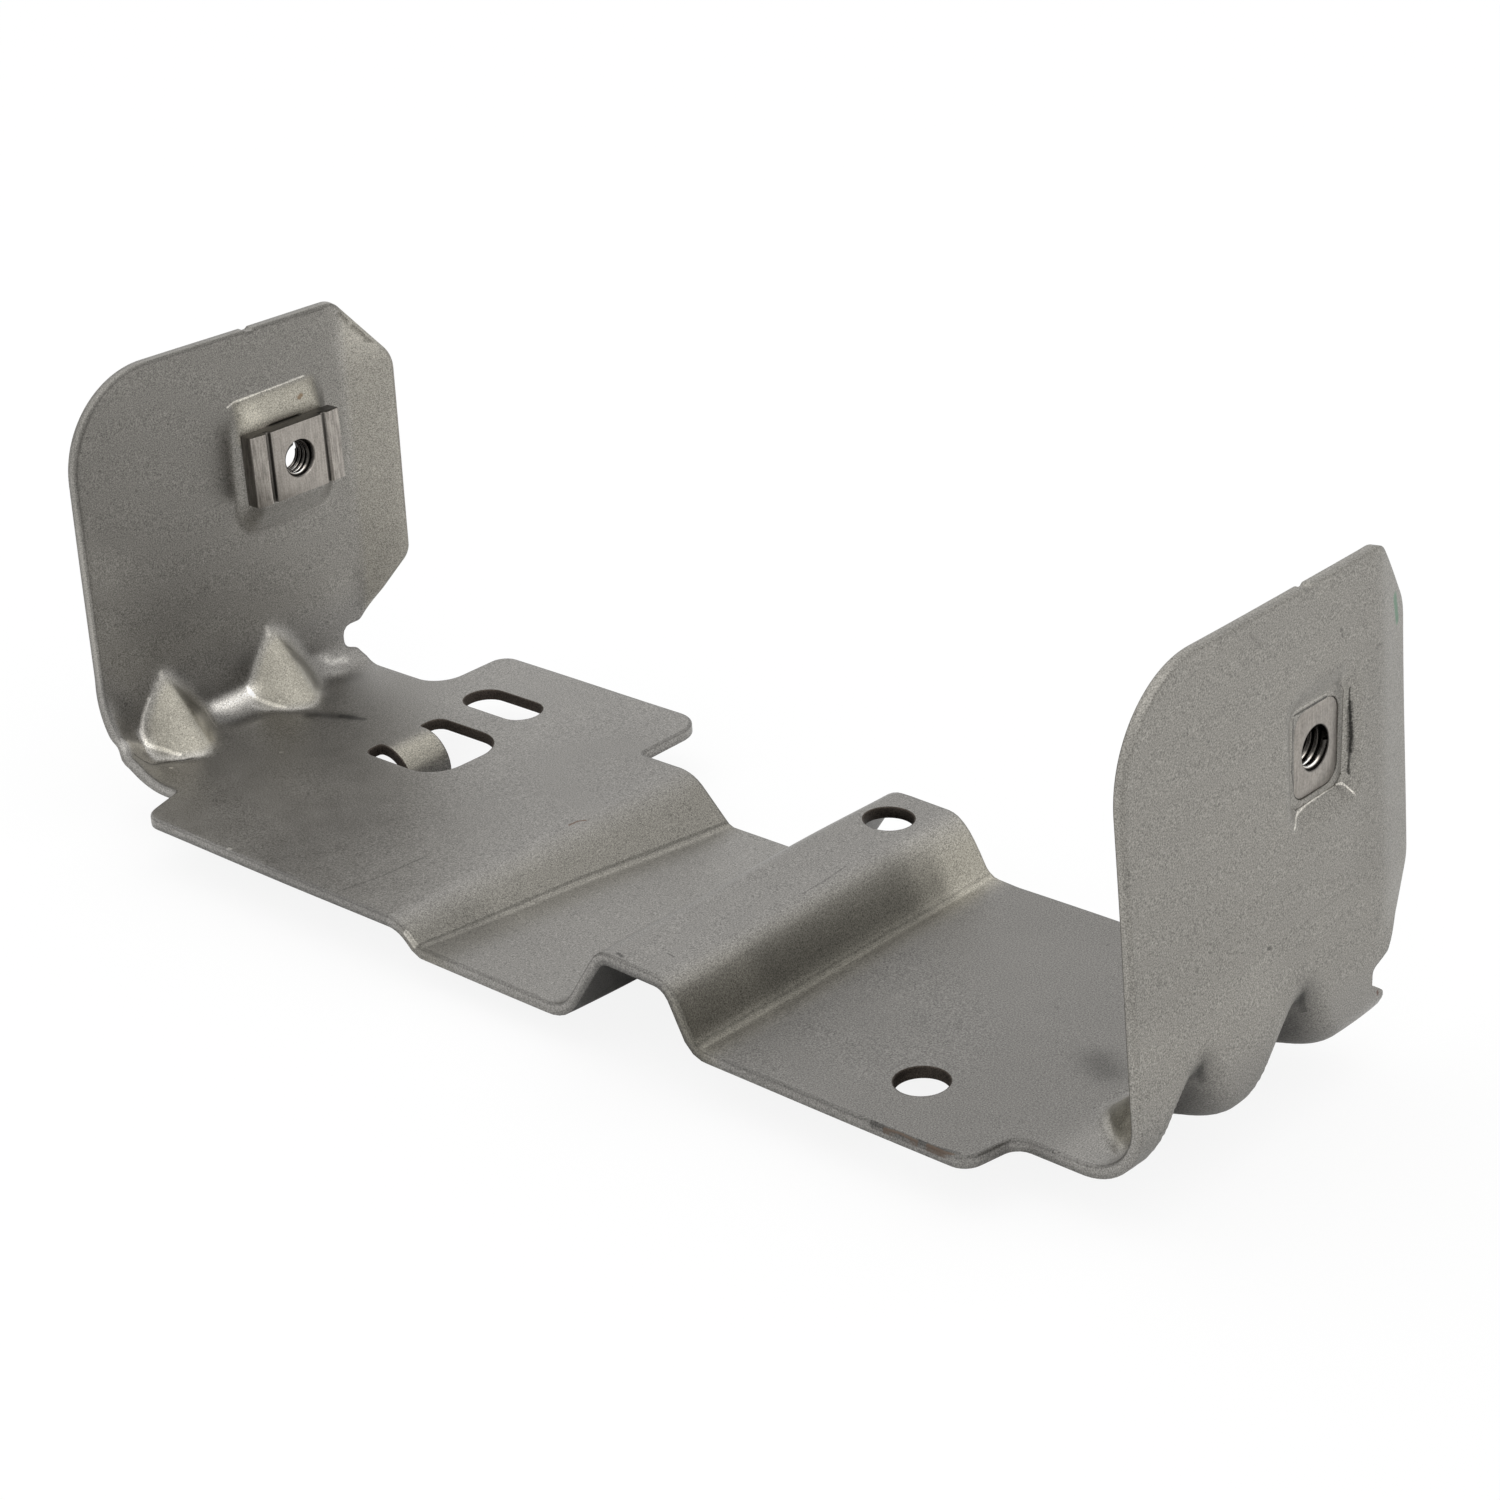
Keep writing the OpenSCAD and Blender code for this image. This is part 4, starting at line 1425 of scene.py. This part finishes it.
def thread_tree(material):
    """Geometry Nodes: a ridge of triangular section along a spiral."""
    tree = bpy.data.node_groups.new("thread_turns", "GeometryNodeTree")
    face = tree.interface
    face.new_socket("Geometry", in_out="INPUT", socket_type="NodeSocketGeometry")
    names = ("Radius", "Pitch", "Turns", "Ridge Height", "Ridge Width")
    for name in names:
        face.new_socket(name, in_out="INPUT", socket_type="NodeSocketFloat")
    face.new_socket("Geometry", in_out="OUTPUT", socket_type="NodeSocketGeometry")
    maker = NodeMaker(tree)
    given = maker.node("NodeGroupInput")
    radius, pitch, turns = (given.of(n) for n in names[:3])
    high, wide = given.of("Ridge Height"), given.of("Ridge Width")
    spiral = maker.node("GeometryNodeCurveSpiral", None, {
        "Resolution": 48,
        "Rotations": turns,
        "Start Radius": radius,
        "End Radius": radius,
        "Height": pitch * turns,
    })
    spiral = maker.node("GeometryNodeSetCurveNormal", {"mode": "Z_UP"}, {"Curve": spiral})
    left = maker.node("ShaderNodeCombineXYZ", None, {"X": -0.04, "Y": wide * -0.5})
    right = maker.node("ShaderNodeCombineXYZ", None, {"X": -0.04, "Y": wide * 0.5})
    tip_low = maker.node("ShaderNodeCombineXYZ", None, {"X": high, "Y": wide * -0.07})
    tip_high = maker.node("ShaderNodeCombineXYZ", None, {"X": high, "Y": wide * 0.07})
    section = maker.node("GeometryNodeCurvePrimitiveQuadrilateral", {"mode": "POINTS"}, {
        "Point 1": left,
        "Point 2": tip_low,
        "Point 3": tip_high,
        "Point 4": right,
    })
    ridge = maker.node("GeometryNodeCurveToMesh", None, {
        "Curve": spiral,
        "Profile Curve": section,
        "Fill Caps": True,
    })
    ridge = maker.node("GeometryNodeRealizeInstances", None, {"Geometry": ridge})
    ridge = maker.node("GeometryNodeSetMaterial", None, {
        "Geometry": ridge,
        "Material": material,
    })
    maker.node("NodeGroupOutput", None, {"Geometry": ridge})
    return tree


def thread_turns(side, nuts, material):
    """The turns of the thread, swept in Geometry Nodes inside a nut."""
    name = ("left" if side < 0 else "right") + "_thread_turns"
    thing = add_object(name, bpy.data.meshes.new(name), material)
    modifier = thing.modifiers.new("turns", "NODES")
    modifier.node_group = thread_tree(material)
    pitch = nuts.thread_pitch / MM
    values = {
        "Radius": nuts.thread_size / MM / 2,
        "Pitch": pitch,
        "Turns": 3.7 / pitch,
        "Ridge Height": 0.5,
        "Ridge Width": pitch * 0.86,
    }
    for item in modifier.node_group.interface.items_tree:
        if item.in_out == "INPUT" and item.name in values:
            modifier[item.identifier] = float(values[item.name])
    finished(thing)
    mesh = thing.data
    flat = np.empty(len(mesh.vertices) * 3, dtype=np.float32)
    mesh.vertices.foreach_get("co", flat)
    verts = flat.reshape(-1, 3).astype(float)
    verts = np.stack([verts[:, 2] - 1.3, verts[:, 0], verts[:, 1]], axis=-1)
    seat_nut(mesh, verts, side)
    bm = bmesh.new()
    bm.from_mesh(mesh)
    bmesh.ops.recalc_face_normals(bm, faces=bm.faces)
    bm.to_mesh(mesh)
    bm.free()
    mesh.materials.clear()
    mesh.materials.append(material)
    return thing


# Stage


def camera_matrix():
    """Place and turn of the camera, from the values fitted to the photograph."""
    a = math.radians(CAMERA["azimuth"])
    e = math.radians(CAMERA["elevation"])
    r = math.radians(CAMERA["roll"])
    ahead = np.array([-math.sin(a) * math.cos(e), math.cos(a) * math.cos(e), -math.sin(e)])
    level = np.array([math.cos(a), math.sin(a), 0.0])
    above = np.cross(level, ahead)
    right = math.cos(r) * level + math.sin(r) * above
    up = -math.sin(r) * level + math.cos(r) * above
    move_x, move_y = CAMERA["move"]
    place = -move_x * right - move_y * up - CAMERA["distance"] * ahead
    place = placed(place)
    return Matrix((
        (right[0], up[0], -ahead[0], place[0]),
        (right[1], up[1], -ahead[1], place[1]),
        (right[2], up[2], -ahead[2], place[2]),
        (0.0, 0.0, 0.0, 1.0),
    ))


def floor_material(finish):
    """Pale floor that is white to the camera and keeps a soft shadow."""
    material, maker = new_material("studio_floor")
    path = maker.node("ShaderNodeLightPath")
    seen = path.of("Is Camera Ray")
    plain = maker.node("ShaderNodeBsdfDiffuse", None, {"Color": rgba(finish.floor_colour)})
    white = maker.node("ShaderNodeEmission", None, {"Color": (1, 1, 1, 1), "Strength": 1.0})
    shader = maker.node("ShaderNodeMixShader", None, {
        0: seen * 0.88,
        1: plain,
        2: white,
    })
    surface_output(maker, shader)
    return material


def world_light():
    """An even white surround that is a little brighter from above."""
    world = bpy.data.worlds.new("studio")
    bpy.context.scene.world = world
    world.use_nodes = True
    maker = NodeMaker(world.node_tree)
    direction = maker.node("ShaderNodeTexCoord").of("Generated")
    height = maker.node("ShaderNodeSeparateXYZ", None, {0: direction}).of("Z")
    path = maker.node("ShaderNodeLightPath")
    seen = path.of("Is Camera Ray")
    strength = 0.86 + height.rising(-0.2, 1.0) * 0.34
    strength = seen * 1.0 + (1.0 - seen) * strength
    glow = maker.node("ShaderNodeBackground", None, {
        "Color": (1.0, 1.0, 1.0, 1.0),
        "Strength": strength,
    })
    maker.node("ShaderNodeOutputWorld", None, {"Surface": glow})


def soft_lamp(name, place, aim, size, power):
    lamp = bpy.data.lights.new(name, "AREA")
    lamp.shape = "DISK"
    lamp.size = size
    lamp.energy = power
    thing = bpy.data.objects.new(name, lamp)
    bpy.context.scene.collection.objects.link(thing)
    back = np.array(place, dtype=float) - np.array(aim, dtype=float)
    back = back / np.linalg.norm(back)
    side = np.cross([0.0, 0.0, 1.0], back)
    if np.linalg.norm(side) < 1e-6:
        side = np.array([1.0, 0.0, 0.0])
    side = side / np.linalg.norm(side)
    up = np.cross(back, side)
    thing.matrix_world = Matrix((
        (side[0], up[0], back[0], place[0]),
        (side[1], up[1], back[1], place[1]),
        (side[2], up[2], back[2], place[2]),
        (0.0, 0.0, 0.0, 1.0),
    ))
    return thing


# Operators


class BRACKET_OT_stage(bpy.types.Operator):
    """Adds the floor, the light and the camera"""

    bl_idname = "bracket.stage"
    bl_label = "Build Stage"

    def execute(self, context):
        scene = context.scene
        finish = scene.bracket_finish
        mesh = bpy.data.meshes.new("floor")
        reach = 3.0
        level = -0.0002
        mesh.from_pydata(
            [(-reach, -reach, level), (reach, -reach, level), (reach, reach, level),
             (-reach, reach, level)],
            [], [(0, 1, 2, 3)])
        floor = add_object("floor", mesh, floor_material(finish))
        world_light()
        soft_lamp("overhead", (0.0, -0.2, 1.2), (0.0, 0.0, 0.0), 1.2, 2.0)
        data = bpy.data.cameras.new("camera")
        size = CAMERA["frame"]
        data.sensor_fit = "HORIZONTAL"
        data.sensor_width = 36.0
        data.lens = CAMERA["focal"] * 36.0 / size
        data.shift_x = (size / 2 - CAMERA["centre"][0]) / size
        data.shift_y = (CAMERA["centre"][1] - size / 2) / size
        data.clip_start = 0.01
        data.clip_end = 20.0
        camera = bpy.data.objects.new("camera", data)
        scene.collection.objects.link(camera)
        camera.matrix_world = camera_matrix()
        scene.camera = camera
        scene.view_settings.view_transform = "Standard"
        return {"FINISHED"}


class BRACKET_OT_sheet(bpy.types.Operator):
    """Builds the folded sheet with its ears, darts, seats and openings"""

    bl_idname = "bracket.sheet"
    bl_label = "Build Sheet"

    def execute(self, context):
        scene = context.scene
        mesh = sheet_mesh(scene.bracket_sheet)
        if not mesh.polygons:
            raise RuntimeError("the folded sheet has no faces")
        sheet = add_object("folded_sheet", mesh, sheet_steel(scene.bracket_finish))
        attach(sheet, "root")
        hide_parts("bracket")
        return {"FINISHED"}


class BRACKET_OT_nuts(bpy.types.Operator):
    """Builds the two pierce nuts and the turns of their threads"""

    bl_idname = "bracket.nuts"
    bl_label = "Build Nuts"

    def execute(self, context):
        scene = context.scene
        material = nut_steel(scene.bracket_finish)
        for side, node in ((-1, "left_nut"), (1, "right_nut")):
            nut = nut_solid(side, scene.bracket_nuts, material)
            if not nut.data.polygons:
                raise RuntimeError("a nut has no faces")
            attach(nut, "root")
            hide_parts(node)
            turns = thread_turns(side, scene.bracket_nuts, material)
            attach(turns, "root")
        return {"FINISHED"}


class BRACKET_PT_sidebar(bpy.types.Panel):
    """Lists the settings and the steps that build the bracket"""

    bl_idname = "BRACKET_PT_sidebar"
    bl_label = "Stamped Bracket"
    bl_space_type = "VIEW_3D"
    bl_region_type = "UI"
    bl_category = "Bracket"

    def draw(self, context):
        layout = self.layout
        for step in (BRACKET_OT_stage, BRACKET_OT_sheet, BRACKET_OT_nuts):
            layout.operator(step.bl_idname)
        scene = context.scene
        for group in (scene.bracket_sheet, scene.bracket_nuts, scene.bracket_finish):
            box = layout.box()
            for name in group.__annotations__:
                box.prop(group, name)


CLASSES = (
    SheetSettings,
    NutSettings,
    FinishSettings,
    BRACKET_OT_stage,
    BRACKET_OT_sheet,
    BRACKET_OT_nuts,
    BRACKET_PT_sidebar,
)


def register():
    for item in CLASSES:
        bpy.utils.register_class(item)
    bpy.types.Scene.bracket_sheet = PointerProperty(type=SheetSettings)
    bpy.types.Scene.bracket_nuts = PointerProperty(type=NutSettings)
    bpy.types.Scene.bracket_finish = PointerProperty(type=FinishSettings)


def unregister():
    del bpy.types.Scene.bracket_finish
    del bpy.types.Scene.bracket_nuts
    del bpy.types.Scene.bracket_sheet
    for item in reversed(CLASSES):
        bpy.utils.unregister_class(item)


def main():
    register()
    bpy.ops.bracket.stage()
    bpy.ops.bracket.sheet()
    bpy.ops.bracket.nuts()


if __name__ == "__main__":
    main()
